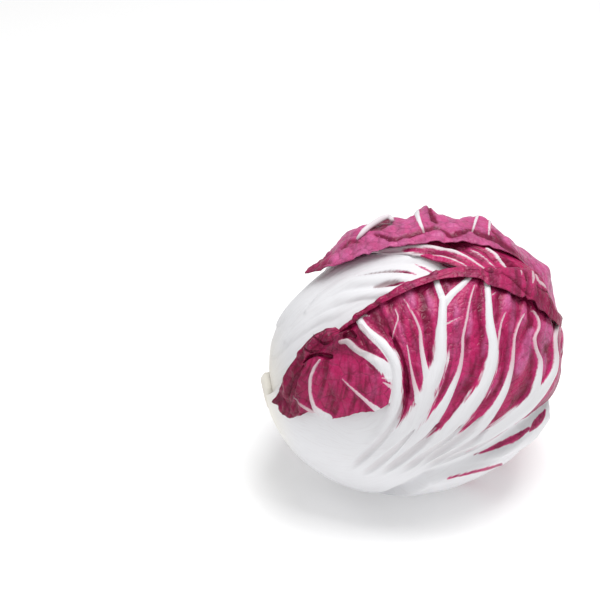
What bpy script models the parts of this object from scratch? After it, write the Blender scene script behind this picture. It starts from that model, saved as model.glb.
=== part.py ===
"""Radicchio head lying on its side, built as separate leaves wrapped round a dense heart.

Every leaf is a grid laid over one spheroid. Its columns follow the leaf's veins from the stem to
the free edge, its rows cross them, and its height above the spheroid says which leaf lies over
which. Where a column or an edge could be seen in the photograph it is written as the picture
points that were read off by eye along it; elsewhere it is written as angles round the stem.
"""
import bmesh
import bpy
import numpy as np
from mathutils import Matrix, Vector

MM = 0.001

# Eye that the picture points were read from, and the size of one picture step at the head.
STEP = 0.4167                      # mm of the head per picture step
EYE_DISTANCE = 937.5               # mm from the eye to the plane through the head's middle
PICTURE_MIDDLE = (300.0, 300.0)    # picture point straight ahead of the eye
HEAD_MARK = (413.7, 355.3)         # picture point of the head's middle
RIGHT = np.array([1.0, 0.0, 0.0])
UP = np.array([0.0, 0.5, 0.8660254])
TOWARD = np.array([0.0, -0.8660254, 0.5])

# The spheroid under all the leaves (mm), its long axis and the way the stem points.
LONG_RADIUS = 57.0
ROUND_RADIUS = 49.6
LONG_AXIS = -0.917 * RIGHT - 0.399 * UP
STEM_AXIS = -0.975 * RIGHT - 0.222 * UP
LONG_AXIS = LONG_AXIS / np.linalg.norm(LONG_AXIS)
STEM_AXIS = STEM_AXIS / np.linalg.norm(STEM_AXIS)
SIDE_AXIS = UP - (UP @ STEM_AXIS) * STEM_AXIS
SIDE_AXIS = SIDE_AXIS / np.linalg.norm(SIDE_AXIS)
HEAD_CENTRE = np.array([1.46, -0.59, 55.6])   # mm, so that the head rests at z = 0

# Heights of the leaves' outer faces above the spheroid (mm).
OUTERMOST = 7.6
HEART_HEIGHT = -1.7
BLADE = 0.8                        # mm, thickness of a leaf blade
FLOOR_BLEND = 0.4                  # mm, height over which a leaf eases into the resting flat
SAG = 0.9                          # mm, how far the underside is pressed out by the weight
SAG_POINT = (8.0, 4.0)             # mm, where it sags most
SAG_SPREAD = 16.0                  # mm, reach of the sag across the floor
SAG_TALL = 12.0                    # mm, height at which the sag has faded
RING = 9.5                         # degrees, where the leaves end round the stem
RIB_STEEPNESS = 0.55               # highest rib, as a share of the distance to its feet


def smooth(x):
    """Ease from 0 to 1 while x goes from 0 to 1."""
    x = np.clip(x, 0.0, 1.0)
    return x * x * (3.0 - 2.0 * x)


def around(*marks):
    """Unit directions from (angle from the stem, angle round the stem) pairs in degrees.

    The second angle is 0 on the side that faces the eye, 90 on top and 180 at the back.
    """
    away, turn = np.radians(np.array(marks, float)).T
    across = np.cos(turn)[:, None] * TOWARD + np.sin(turn)[:, None] * SIDE_AXIS
    return np.cos(away)[:, None] * STEM_AXIS + np.sin(away)[:, None] * across


def angles(direction):
    """Angle from the stem and angle round it (degrees) for unit directions."""
    away = np.degrees(np.arccos(np.clip(direction @ STEM_AXIS, -1.0, 1.0)))
    turn = np.degrees(np.arctan2(direction @ SIDE_AXIS, direction @ TOWARD))
    return away, turn


def seen(*marks, height=OUTERMOST):
    """Unit directions of picture points, where the eye's rays meet the spheroid at that height."""
    marks = np.array(marks, float)
    flat = (marks - np.array(HEAD_MARK)) * (STEP, -STEP)
    offset = (np.array(HEAD_MARK) - np.array(PICTURE_MIDDLE)) * (-STEP, STEP)
    eye = offset[0] * RIGHT + offset[1] * UP + EYE_DISTANCE * TOWARD
    ray = flat[:, :1] * RIGHT + flat[:, 1:] * UP - eye

    def unstretch(vector):
        along = (vector @ LONG_AXIS)[..., None] * LONG_AXIS
        return (vector - along) / (ROUND_RADIUS + height) + along / (LONG_RADIUS + height)

    start, run = unstretch(eye), unstretch(ray)
    square = (run * run).sum(1)
    middle = run @ start
    inside = np.clip(middle ** 2 - square * (start @ start - 1.0), 0.0, None)
    reach = (-middle - np.sqrt(inside)) / square
    hit = start + run * reach[:, None]
    return hit / np.linalg.norm(hit, axis=1, keepdims=True)


def smooth_line(points, at):
    """Read a smooth line through the points at fractions of its length."""
    length = np.concatenate([[0.0], np.cumsum(np.linalg.norm(np.diff(points, axis=0), axis=1))])
    length = length / length[-1]
    return smooth_curve(points, length, np.gradient(points, length, axis=0), at)


def smooth_across(points, at):
    """Read a smooth line through evenly numbered points, without overshoot between uneven gaps.

    The slope at a point weighs each neighbouring gap by the length of the other one.
    """
    gap = np.diff(points, axis=0)
    size = np.linalg.norm(gap, axis=-1, keepdims=True) + 1e-9
    inner = (gap[:-1] * size[1:] + gap[1:] * size[:-1]) / (size[:-1] + size[1:])
    slope = np.concatenate([gap[:1], inner, gap[-1:]])
    return smooth_curve(points, np.arange(len(points), dtype=float), slope, at)


def smooth_curve(points, knots, slope, at):
    """Read a cubic curve that passes through the points at their knots with the given slopes."""
    index = np.clip(np.searchsorted(knots, at, side="right") - 1, 0, len(knots) - 2)
    span = knots[index + 1] - knots[index]
    shape = (-1,) + (1,) * (points.ndim - 1)
    t = ((at - knots[index]) / span).reshape(shape)
    span = span.reshape(shape)
    return ((1 + 2 * t) * (1 - t) ** 2 * points[index] + t * (1 - t) ** 2 * span * slope[index]
            + t * t * (3 - 2 * t) * points[index + 1] + t * t * (t - 1) * span * slope[index + 1])


def net(columns, across, along):
    """Directions of a leaf's grid: rows along its length by columns across it."""
    lines = np.stack([smooth_line(column, along) for column in columns])
    grid = smooth_across(lines, across).transpose(1, 0, 2)
    return grid / np.linalg.norm(grid, axis=2, keepdims=True)


def fan(count, rows, droop):
    """Columns spread evenly between two edges that are given as (away, first, last) rows.

    droop is how far back the leaf's tip falls at its two corners, as a share of its length.
    """
    rows = np.array(rows, float)
    columns = []
    for share in np.linspace(0.0, 1.0, count):
        away = rows[:, 0] - RING
        away = RING + away * (1.0 - droop * abs(2.0 * share - 1.0) ** 3)
        turn = rows[:, 1] + (rows[:, 2] - rows[:, 1]) * share
        columns.append(around(*zip(away, turn)))
    return columns


def place(direction, height):
    """Points (mm) at the given height above the spheroid, flattened where the head rests.

    The underside sags a little towards the weight, so that the flat lies right under it.
    """
    stretch = (LONG_RADIUS - ROUND_RADIUS) * (direction @ LONG_AXIS)[..., None] * LONG_AXIS
    point = HEAD_CENTRE + stretch + direction * (ROUND_RADIUS + height)[..., None]
    level = np.clip(OUTERMOST - height, 0.0, None)
    above = point[..., 2] - level
    aside = np.hypot(point[..., 0] - SAG_POINT[0], point[..., 1] - SAG_POINT[1])
    above = above - SAG * np.exp(-(aside / SAG_SPREAD) ** 2 - (above / SAG_TALL) ** 2)
    eased = (above + FLOOR_BLEND) ** 2 / (4.0 * FLOOR_BLEND)
    point[..., 2] = level + np.where(above > FLOOR_BLEND, above,
                                     np.where(above < -FLOOR_BLEND, 0.0, eased))
    return point


def rib_columns(intervals, foot):
    """Grid columns for ribs: one on each vein and one at each foot beside it."""
    steps = np.arange(intervals)[:, None] + np.array([0.0, foot, 1.0 - foot])
    return np.append(steps.ravel(), float(intervals))


def rib_height(direction, across, along, heights):
    """Height of the ribs over a grid (mm): full on a vein column and nothing at its feet.

    A rib stays lower than half the distance to its feet, so that crowded ribs near the stem fade.
    """
    nearest = np.rint(across).astype(int)
    on_vein = np.clip(1.0 - np.abs(across - nearest) / 0.2, 0.0, 1.0)
    swell = smooth((along - 0.08) / 0.34) * (1.0 - 0.7 * smooth((along - 0.75) / 0.25))
    apart = np.linalg.norm(np.diff(direction, axis=1), axis=2) * ROUND_RADIUS
    apart = np.concatenate([apart[:, :1], apart, apart[:, -1:]], axis=1)
    most = RIB_STEEPNESS * np.minimum(apart[:, 1:], apart[:, :-1])
    height = (np.array(heights)[nearest] * on_vein)[None, :] * swell[:, None]
    return np.clip(height, -most, most)


def leaf_object(name, points, thickness=BLADE):
    """Closed leaf from a grid of outer-face points (mm): a grid, triangulated, then thickened."""
    rows, columns = points.shape[:2]
    mesh = bpy.data.meshes.new(name)
    work = bmesh.new()
    bmesh.ops.create_grid(work, x_segments=columns - 1, y_segments=rows - 1, size=1.0)
    for vertex in work.verts:
        column = round((vertex.co.x + 1.0) * 0.5 * (columns - 1))
        row = round((vertex.co.y + 1.0) * 0.5 * (rows - 1))
        vertex.co = Vector(points[row, column]) * MM
    bmesh.ops.triangulate(work, faces=work.faces[:], quad_method="SHORT_EDGE")
    work.normal_update()
    middle = Vector(HEAD_CENTRE) * MM
    outward = sum(face.normal.dot(face.calc_center_median() - middle) * face.calc_area()
                  for face in work.faces)
    if outward < 0.0:
        bmesh.ops.reverse_faces(work, faces=work.faces[:])
    work.to_mesh(mesh)
    work.free()
    leaf = bpy.data.objects.new(name, mesh)
    blade = leaf.modifiers.new("blade", "SOLIDIFY")
    blade.thickness = thickness * MM
    blade.offset = -1.0
    return leaf


# Front leaf: its columns, from the torn side at the stem round to the lower edge.
FRONT_COLUMNS = [
    (around((RING, -6), (20, 0)), seen((292, 370), (304, 354), (318, 342), (332, 336), (342, 331))),
    (around((RING, -13), (20, -10), (32, -8)),
     seen((318, 398), (336, 386), (350, 364), (355, 342), (352, 325))),
    (around((RING, -16), (20, -14), (35, -14), (48, -15)),
     seen((352, 426), (378, 412), (385, 390), (379, 368), (370, 350), (362, 336), (356, 322))),
    (around((RING, -19), (20, -18), (35, -19), (48, -23), (60, -31)),
     seen((383, 435), (397, 417), (401, 398), (400, 378), (396, 363), (389, 353), (378, 341),
          (367, 328), (360, 318))),
    (around((RING, -26), (20, -26), (35, -28), (48, -30), (60, -35)),
     seen((386, 440), (401.5, 421), (407, 400), (407, 382), (404, 364), (395, 342), (384, 322),
          (376, 306))),
    (around((RING, -32), (20, -34), (35, -36), (48, -37), (60, -39)),
     seen((389, 446), (406, 426), (414, 402), (415, 384), (410, 361), (403, 336), (395, 314),
          (389, 298))),
    (around((RING, -38), (20, -42), (35, -45), (48, -45), (60, -43.5)),
     seen((391.5, 451), (410, 430), (422, 405), (427, 384), (424, 364), (421, 346), (419, 328),
          (413, 308), (405, 289))),
    (around((RING, -44), (20, -50), (35, -54), (48, -54), (60, -49)),
     seen((394, 456), (414, 434), (429, 402), (435, 380), (440, 358), (441, 340), (442, 318),
          (445, 297), (448, 274))),
    (around((RING, -50), (20, -58), (35, -63), (50, -61)),
     seen((398, 461), (416, 445), (430, 426), (443, 405), (452, 390), (459, 372), (462, 345),
          (465, 318), (472, 290), (475, 273))),
    (around((RING, -56), (20, -65), (35, -70), (50, -67)),
     seen((400, 468), (425, 450), (443, 437), (457, 421), (469, 405), (479, 389), (487, 374),
          (492, 355), (492, 338), (489, 315), (488, 294), (487, 275))),
    (around((RING, -62), (20, -72), (35, -77), (50, -73)),
     seen((400, 471.5), (425, 455), (450, 443), (468, 433), (483, 422), (495, 409), (503, 395),
          (509, 379), (512, 360), (514, 342), (517, 322), (519, 298), (518, 273))),
    (around((RING, -70), (20, -80), (35, -84), (50, -79)),
     seen((400, 475), (425, 460), (450, 449), (480, 434), (505, 418), (524, 402), (535, 386),
          (539, 368), (538, 352), (534, 336), (536, 320), (534, 304), (533, 276))),
    (around((RING, -80), (20, -90), (35, -93), (50, -87)),
     seen((400, 479), (425, 465), (450, 454), (476, 442), (500, 428), (520, 414), (536, 398),
          (546, 382), (553, 368), (556, 356), (555, 344), (556, 330), (549, 306))),
    (around((RING, -92), (20, -99), (35, -102), (50, -96), (66, -75)),
     seen((400, 484), (425, 471), (450, 461), (480, 447), (510, 429), (536, 410), (550, 399)),
     around((152, -62), (158, -40), (160, -15), (159, 3))),
]
FRONT_RIBS = (0.0, 0.3, 0.3, 1.2, -0.6, 0.6, 0.8, 1.4, 0.6, 1.3, 1.0, 1.1, 1.3, 0.2)
# Width of the front leaf's turned-over band and the radius of its fold, by column (mm).
FRONT_BAND = (0.4, 0.6, 0.7, 0.8, 1.2, 1.8, 2.6, 3.4, 4.2, 6.2, 10.5, 12.0, 5.0, 0.8)
FRONT_FOLD = (0.7, 0.8, 0.8, 0.9, 1.0, 1.0, 1.1, 1.2, 1.3, 1.4, 1.5, 1.5, 1.0, 0.7)


def front_leaf():
    """The big front leaf, with its ribs and the band that is turned over along its top edge."""
    columns = [np.vstack(column) for column in FRONT_COLUMNS]
    across = rib_columns(len(columns) - 1, 0.3)
    along = np.linspace(0.0, 1.0, 20)
    direction = net(columns, across, along)
    wave = 0.25 * np.sin(across * 2.4)[None, :] * smooth((along - 0.5) / 0.5)[:, None]
    height = OUTERMOST + wave + rib_height(direction, across, along, FRONT_RIBS)
    body = place(direction, height)

    knots = np.arange(len(columns), dtype=float)
    band = np.interp(across, knots, FRONT_BAND)
    band = band * (1.0 + 0.12 * np.sin(across * 5.1))
    fold = np.interp(across, knots, FRONT_FOLD)[:, None]
    edge = body[-1]
    normal = direction[-1]
    ahead = edge - body[-2]
    ahead -= (ahead * normal).sum(1, keepdims=True) * normal
    ahead /= np.linalg.norm(ahead, axis=1, keepdims=True)
    rows = [body]
    for turn in np.radians([45.0, 90.0, 135.0, 180.0]):
        rows.append((edge + fold * np.sin(turn) * ahead
                     + fold * (1.0 - np.cos(turn)) * normal)[None])
    length = np.linalg.norm(np.diff(body, axis=0), axis=2).sum(0)
    lift = 2.0 * fold[:, 0]
    for share in (0.5, 1.0):
        back = 1.0 - share * band / length
        rows.append(np.stack([
            place(net(columns, across[i:i + 1], back[i:i + 1])[0],
                  np.array([OUTERMOST + lift[i] + 0.6 * share]))[0]
            for i in range(len(across))])[None])
    return leaf_object("leaf_front", np.concatenate(rows))


# Torn lobe of the front leaf: rows from its torn lower edge up to the fold.
FLAP_ROWS = [
    seen((275, 400), (283, 412), (292, 416), (303, 413), (316, 416), (330, 419), (344, 415),
         (362, 411), (376, 410), (388, 404), (399, 398)),
    seen((280, 387), (292, 392), (304, 394), (318, 396), (334, 396), (350, 394), (364, 392),
         (378, 390), (390, 386), (401, 381)),
    seen((291, 366), (301, 370), (312, 374), (326, 376), (342, 375), (358, 372), (374, 370),
         (388, 367), (398, 363)),
    seen((303, 347), (312, 353), (322, 358), (334, 357), (348, 353), (362, 350), (376, 348),
         (387, 349)),
    seen((319, 331), (326, 338), (334, 341), (344, 339), (354, 336), (366, 332), (373, 334)),
    seen((332, 326), (336, 328), (340, 330), (346, 327), (352, 323), (358, 320), (361, 321)),
]
FLAP_RISE = 2.1                    # mm, torn lobe above the front leaf


def flap():
    """The torn lobe that lies on the front leaf; it is sunk into it along its right edge."""
    across = np.linspace(0.0, 1.0, 15)
    along = np.linspace(0.0, 1.0, 10)
    lines = np.stack([smooth_line(row, across) for row in FLAP_ROWS])
    grid = smooth_across(lines, along * (len(FLAP_ROWS) - 1))
    grid /= np.linalg.norm(grid, axis=2, keepdims=True)
    root = smooth((across - 0.80) / 0.20)[None, :]
    top = smooth((along - 0.80) / 0.20)[:, None]
    rise = FLAP_RISE * (1.0 - 1.0 * np.maximum(root, top))
    wrinkle = 0.45 * np.sin(across * 19.0)[None, :] * np.sin(along * 5.0 + 0.6)[:, None]
    rise = rise + wrinkle * (1.0 - np.maximum(root, top))
    return leaf_object("flap", place(grid, OUTERMOST + 0.35 + rise), thickness=1.0)


# Back leaf: columns from the tip seen at the left, over the top and the crown, to its lower edge.
BACK_COLUMNS = [
    ((RING, 138), (20, 140), (32, 141), (43, 139), (55, 130), (63, 112), (66, 95), (61, 81),
     (54, 73)),
    ((RING, 142), (20, 144), (36, 145), (52, 141), (63, 129), (70, 110), (73, 94), (73, 78),
     (66, 64)),
    ((RING, 146), (20, 148), (40, 149), (60, 142), (71, 129), (78, 109), (81, 92), (81, 74),
     (77, 52)),
    ((RING, 150), (22, 153), (44, 154), (66, 145), (79, 129), (87, 109), (91, 90), (92, 72),
     (91, 52)),
    ((RING, 155), (24, 158), (48, 159), (74, 149), (96, 121), (107, 84), (107, 52)),
    ((RING, 160), (26, 163), (52, 164), (82, 153), (106, 124), (118, 86), (119, 51)),
    ((RING, 164), (28, 168), (56, 169), (90, 158), (116, 127), (129, 91), (131, 50)),
    ((RING, 168), (30, 172), (60, 173), (98, 163), (128, 135), (141, 95), (143, 50)),
    ((RING, 173), (30, 177), (62, 179), (102, 171), (136, 150), (150, 105), (153, 66), (149, 36)),
    ((RING, 178), (30, 182), (62, 184), (104, 180), (138, 168), (160, 130), (166, 60), (149, 10)),
    ((RING, 183), (30, 187), (62, 190), (104, 188), (138, 182), (162, 178), (174, -80), (152, -45)),
    ((RING, 188), (30, 192), (60, 195), (100, 194), (134, 192), (156, 196), (169, 240), (156, -92)),
    ((RING, 193), (28, 198), (56, 202), (92, 202), (122, 202), (144, 206), (155, 226)),
    ((RING, 199), (26, 205), (52, 209), (82, 211), (108, 211), (126, 212), (134, 216)),
    ((RING, 206), (24, 211), (46, 215), (70, 217), (90, 218), (106, 217), (116, 216)),
]
BACK_RIBS = (0.0, 0.5, 0.9, 0.6, 1.1, 0.7, 1.1, 0.7, 1.1, 1.2, 0.8, 1.0, 0.7, 0.8, 0.0)
BACK_HEIGHT = 8.0
NEAR_STEM_SINK = 3.6               # mm, how much lower the back leaves lie at the stem
# Rib ends and puckers that stand up along the top: angle from the stem, angle round it (degrees),
# their reach in both angles (degrees) and their height (mm).
BACK_BUMPS = ((91, 86, 6, 9, 1.5), (105, 86, 5, 11, 2.8), (128, 80, 6, 11, 1.6),
              (98, 88, 4, 8, -0.8), (116, 86, 5, 9, -0.9), (75, 84, 6, 9, 0.8),
              (157, 76, 10, 30, 3.8))


def back_leaf():
    """The outer back leaf, whose puckered edge comes over the top of the head."""
    columns = [around(*column) for column in BACK_COLUMNS]
    across = rib_columns(len(columns) - 1, 0.3)
    along = np.linspace(0.0, 1.0, 17)
    direction = net(columns, across, along)
    away, turn = angles(direction)
    sink = 2.6 * smooth((away - 136.0) / 13.0) + NEAR_STEM_SINK * (1.0 - smooth(away / 50.0))
    near_edge = smooth((along - 0.55) / 0.3)[:, None]
    wave = near_edge * (0.9 * np.sin(across * 3.7)[None, :] * np.cos(along * 21.0)[:, None]
                        + 0.5 * np.sin(across * 7.9 + 1.0)[None, :])
    wave = wave * (1.0 - smooth((away - 132.0) / 10.0))
    for from_stem, round_stem, long_way, cross_way, rise in BACK_BUMPS:
        wave = wave + rise * np.exp(-((away - from_stem) / long_way) ** 2
                                    - ((turn - round_stem) / cross_way) ** 2)
    height = BACK_HEIGHT - sink + wave + rib_height(direction, across, along, BACK_RIBS)
    return leaf_object("leaf_back", place(direction, height))


def inner_leaf():
    """The white inner leaf that shows at the upper left."""
    columns = fan(9, [(RING, -18, 126), (20, -10, 134), (40, 5, 134), (60, 8, 124), (80, 10, 114),
                      (104, 12, 104), (138, 12, 90)], droop=0.07)
    across = rib_columns(len(columns) - 1, 0.3)
    along = np.linspace(0.0, 1.0, 14)
    direction = net(columns, across, along)
    away, turn = angles(direction)
    swell = np.interp(away, (0, 20, 35, 50, 60, 180), (3.7, 3.7, 2.3, 0.6, 0.0, 0.0))
    swell = 0.7 + swell * (1.0 - smooth((turn - 106.0) / 16.0))
    ribs = rib_height(direction, across, along, (0, 0.3, 0.5, 0.6, 0.7, 0.7, 0.6, 0.4, 0))
    return leaf_object("leaf_inner", place(direction, swell + ribs))


def edge_leaf():
    """The narrow leaf between the inner leaf and the back leaf, striped white at the top."""
    first = ((RING, 128), (20, 130), (40, 124), (52, 116), (62, 98), (70, 80), (79, 65), (99, 53),
             (111, 47), (125, 41), (142, 34))
    last = ((RING, 160), (20, 162), (40, 160), (52, 156), (62, 150), (70, 145), (79, 138),
            (99, 124), (111, 116), (125, 108), (142, 97))
    rows = [(one[0], one[1], two[1]) for one, two in zip(first, last)]
    columns = fan(6, rows, droop=0.06)
    across = rib_columns(len(columns) - 1, 0.3)
    along = np.linspace(0.0, 1.0, 14)
    direction = net(columns, across, along)
    height = 3.2 + rib_height(direction, across, along, (0, 0.7, 0.4, 0.6, 0.4, 0))
    return leaf_object("leaf_edge", place(direction, height))


def lower_leaf():
    """The leaf that the head rests on; it shows below the front leaf's lower edge."""
    columns = fan(11, [(RING, -60, -138), (20, -64, -141), (40, -60, -139), (60, -50, -137),
                       (80, -38, -136), (100, -28, -134), (120, -20, -129), (140, -14, -134),
                       (157, -10, -136)], droop=0.05)
    across = rib_columns(len(columns) - 1, 0.3)
    along = np.linspace(0.0, 1.0, 16)
    direction = net(columns, across, along)
    away, turn = angles(direction)
    covered = np.interp(away, (0, 50, 72, 85, 125, 141, 155), (-108, -106, -80, -58, -56, -66, -82))
    under = np.interp(turn, (-140, -95), (124, 138))
    bare = smooth((covered - turn) / 9.0) * (1.0 - smooth((away - under) / 12.0))
    ribs = rib_height(direction, across, along, (0, 0.4, 0.5, 0.8, 0.8, 0.8, 0.9, 0.7, 0.6, 0.5, 0))
    return leaf_object("leaf_lower", place(direction, 3.2 + 4.4 * bare + ribs))


def low_back_leaf():
    """The leaf between the back leaf and the lower leaf, low on the far side."""
    columns = fan(7, [(RING, 178, 240), (20, 176, 242), (40, 176, 242), (60, 178, 242),
                      (90, 180, 242), (115, 182, 238), (134, 186, 230)], droop=0.08)
    across = rib_columns(len(columns) - 1, 0.3)
    along = np.linspace(0.0, 1.0, 13)
    direction = net(columns, across, along)
    away, _ = angles(direction)
    sink = NEAR_STEM_SINK * (1.0 - smooth(away / 50.0))
    height = 5.4 - sink + rib_height(direction, across, along, (0, 0.4, 0.5, 0.6, 0.5, 0.4, 0))
    return leaf_object("leaf_low_back", place(direction, height))


def heart():
    """The dense heart: a closed spheroid with the overlapping edges of its tight leaves."""
    mesh = bpy.data.meshes.new("heart")
    work = bmesh.new()
    bmesh.ops.create_uvsphere(work, u_segments=26, v_segments=14, radius=1.0)
    for vertex in work.verts:
        ball = np.array(vertex.co)
        direction = ball[2] * STEM_AXIS + ball[0] * TOWARD + ball[1] * SIDE_AXIS
        direction /= np.linalg.norm(direction)
        away, turn = angles(direction)
        spiral = (turn / 72.0 + away / 90.0) % 1.0
        overlap = 0.7 * spiral * np.sin(np.radians(away)) ** 2
        vertex.co = Vector(place(direction, np.array(HEART_HEIGHT - 0.7 + overlap))) * MM
    work.to_mesh(mesh)
    work.free()
    return bpy.data.objects.new("heart", mesh)


def stem():
    """The short stalk: a turned cone through the leaf bases with a cut face."""
    foot = HEAD_CENTRE + (LONG_RADIUS - ROUND_RADIUS) * (STEM_AXIS @ LONG_AXIS) * LONG_AXIS
    inner, outer = ROUND_RADIUS - 0.6, ROUND_RADIUS + 8.3
    slope = 0.152
    profile = [(0.0, outer), (slope * outer - 2.6, outer), (slope * outer - 0.8, outer - 0.7),
               (slope * outer, outer - 2.4), (slope * (outer + inner) / 2.0, (outer + inner) / 2.0),
               (slope * inner, inner), (0.0, inner)]
    mesh = bpy.data.meshes.new("stem")
    work = bmesh.new()
    corners = [work.verts.new(Vector((radius, 0.0, reach)) * MM) for radius, reach in profile]
    for one, two in zip(corners, corners[1:]):
        work.edges.new((one, two))
    work.to_mesh(mesh)
    work.free()
    stalk = bpy.data.objects.new("stem", mesh)
    turned = stalk.modifiers.new("turned", "SCREW")
    turned.axis = "Z"
    turned.steps = 24
    turned.render_steps = 24
    turned.use_merge_vertices = True
    turned.merge_threshold = 0.0001
    turned.use_normal_calculate = True
    frame = Matrix((Vector(TOWARD), Vector(SIDE_AXIS), Vector(STEM_AXIS))).transposed()
    stalk.matrix_world = Matrix.Translation(Vector(foot) * MM) @ frame.to_4x4()
    return stalk


MATERIALS = {
    "stem": ((0.80, 0.77, 0.66), 0.60),
    "heart": ((0.74, 0.70, 0.66), 0.55),
    "leaf_inner": ((0.80, 0.79, 0.76), 0.45),
    "leaf_edge": ((0.60, 0.26, 0.40), 0.45),
    "leaf_lower": ((0.72, 0.62, 0.66), 0.45),
    "leaf_low_back": ((0.52, 0.16, 0.30), 0.45),
    "leaf_front": ((0.42, 0.045, 0.16), 0.40),
    "leaf_back": ((0.46, 0.10, 0.25), 0.45),
}


def finish(item, collection):
    """Give the node its material and put it in its collection."""
    colour, roughness = MATERIALS[item.name]
    material = bpy.data.materials.new(item.name)
    material.use_nodes = True
    shader = material.node_tree.nodes["Principled BSDF"]
    shader.inputs["Base Color"].default_value = (*colour, 1.0)
    shader.inputs["Roughness"].default_value = roughness
    item.data.materials.append(material)
    collection.objects.link(item)


def main():
    for item in list(bpy.data.objects):
        bpy.data.objects.remove(item, do_unlink=True)
    head = bpy.data.collections.new("radicchio")
    tools = bpy.data.collections.new("radicchio_tools")
    bpy.context.scene.collection.children.link(head)
    bpy.context.scene.collection.children.link(tools)

    front = front_leaf()
    lobe = flap()
    lobe.hide_render = True
    lobe.display_type = "WIRE"
    tools.objects.link(lobe)
    join = front.modifiers.new("torn_lobe", "BOOLEAN")
    join.operation = "UNION"
    join.solver = "EXACT"
    join.object = lobe
    for item in (stem(), heart(), inner_leaf(), edge_leaf(), lower_leaf(), low_back_leaf(), front,
                 back_leaf()):
        finish(item, head)


main()
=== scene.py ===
"""Looks of the radicchio head: fine leaves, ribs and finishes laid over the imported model."""
import logging
from dataclasses import dataclass, field, fields
from enum import Enum

import bpy
import numpy as np
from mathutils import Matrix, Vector


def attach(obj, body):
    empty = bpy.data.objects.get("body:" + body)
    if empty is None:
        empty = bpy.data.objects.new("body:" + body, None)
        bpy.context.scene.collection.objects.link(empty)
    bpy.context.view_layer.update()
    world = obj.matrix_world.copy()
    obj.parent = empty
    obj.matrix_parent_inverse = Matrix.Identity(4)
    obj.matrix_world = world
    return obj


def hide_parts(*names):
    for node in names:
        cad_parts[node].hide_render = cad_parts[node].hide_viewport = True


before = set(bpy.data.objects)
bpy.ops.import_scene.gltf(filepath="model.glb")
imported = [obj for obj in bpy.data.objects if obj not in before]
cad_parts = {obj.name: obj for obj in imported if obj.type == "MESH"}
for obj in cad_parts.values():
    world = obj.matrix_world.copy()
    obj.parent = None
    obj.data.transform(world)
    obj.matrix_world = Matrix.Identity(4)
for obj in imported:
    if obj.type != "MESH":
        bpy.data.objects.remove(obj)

Array = np.ndarray
Pair = tuple[float, float]
Triple = tuple[float, float, float]
Marks = tuple[tuple[float, ...], ...]
Screen = tuple[int, int, int]
Item = bpy.types.Object
Socket = bpy.types.NodeSocket

LOG = logging.getLogger("radicchio")
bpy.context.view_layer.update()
# Metres in a millimetre, and millimetres in a step of the picture at the head's distance.
MM = 0.001
STEP = 0.4167
# Height of the outermost leaves above the spheroid in mm, the angle from the stem at which every
# leaf starts in degrees, and how far the back leaves sink towards the stem in mm.
OUTERMOST = 7.6
RING = 9.5
NEAR_STEM_SINK = 3.6
# A distance in mm or in steps that is past every border.
FAR = 99.0


class Side(Enum):
    """Which way a sheet's grid faces."""

    OUTWARD = 1
    INWARD = -1


def ease(x: Array | float) -> Array:
    """Ease from 0 to 1 while x goes from 0 to 1.

    Args:
        x: values, held between 0 and 1.

    Returns:
        Three times the square less twice the cube of each value.
    """
    x = np.clip(x, 0.0, 1.0)
    return x * x * (3.0 - 2.0 * x)


def unit(vector: Array) -> Array:
    """Vectors scaled to a length of 1."""
    return vector / np.linalg.norm(vector, axis=-1, keepdims=True)


def running(steps: Array) -> Array:
    """Running total of steps, from 0 on."""
    return np.concatenate([[0.0], np.cumsum(steps)])


def gaps(points: Array, axis: int) -> Array:
    """Distances between neighbouring points along one axis of a grid or line."""
    return np.linalg.norm(np.diff(points, axis=axis), axis=-1)


def lattice(cell: Array, seed: int) -> Array:
    """Repeatable random numbers for whole-number lattice points.

    Args:
        cell: lattice points, three whole numbers each.
        seed: which set of numbers.

    Returns:
        One number from 0 to 1 for each point, from a chain of whole-number multiplications.
    """
    mixed = (cell[..., 0] * 73856093) ^ (cell[..., 1] * 19349663) ^ (cell[..., 2] * 83492791)
    mixed = (mixed ^ (seed * 2654435761)) & 0xFFFFFFFF
    mixed = ((mixed ^ (mixed >> 15)) * 2246822519) & 0xFFFFFFFF
    mixed = ((mixed ^ (mixed >> 13)) * 3266489917) & 0xFFFFFFFF
    return ((mixed ^ (mixed >> 16)) & 0xFFFFFF) / float(0xFFFFFF)


def ripple(point: Array, size: float, seed: int) -> Array:
    """Smooth random swell over space, from -1 to 1.

    Args:
        point: points in mm.
        size: distance between the lattice points in mm.
        seed: which swell.

    Returns:
        The eased blend of the eight lattice numbers round each point.
    """
    scaled = point / size
    base = np.floor(scaled).astype(np.int64)
    part = ease(scaled - base)
    total = np.zeros(point.shape[:-1])
    for x in (0, 1):
        for y in (0, 1):
            for z in (0, 1):
                share = (np.abs(1 - x - part[..., 0]) * np.abs(1 - y - part[..., 1])
                         * np.abs(1 - z - part[..., 2]))
                total += share * lattice(base + np.array([x, y, z]), seed)
    return 2.0 * total - 1.0


def quilt(point: Array, size: float, seed: int) -> tuple[Array, Array]:
    """Puckers of a leaf blade: cells of random points in space.

    Args:
        point: points in mm.
        size: typical size of a cell in mm.
        seed: which cells.

    Returns:
        How far each point is inside its cell, from 0 on the lines between cells, as the distance
        to the second nearest random point less that to the nearest, over the size; and a random
        number for the cell.
    """
    scaled = point / size
    base = np.floor(scaled).astype(np.int64)
    first = np.full(point.shape[:-1], 9.0)
    second = first.copy()
    mark = np.zeros(point.shape[:-1])
    for x in (-1, 0, 1):
        for y in (-1, 0, 1):
            for z in (-1, 0, 1):
                cell = base + np.array([x, y, z])
                spot = cell + np.stack([lattice(cell, seed + k) for k in (1, 2, 3)], axis=-1)
                away = np.linalg.norm(spot - scaled, axis=-1)
                nearer = away < first
                second = np.where(nearer, first, np.minimum(second, away))
                mark = np.where(nearer, lattice(cell, seed + 4), mark)
                first = np.where(nearer, away, first)
    return second - first, mark


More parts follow.
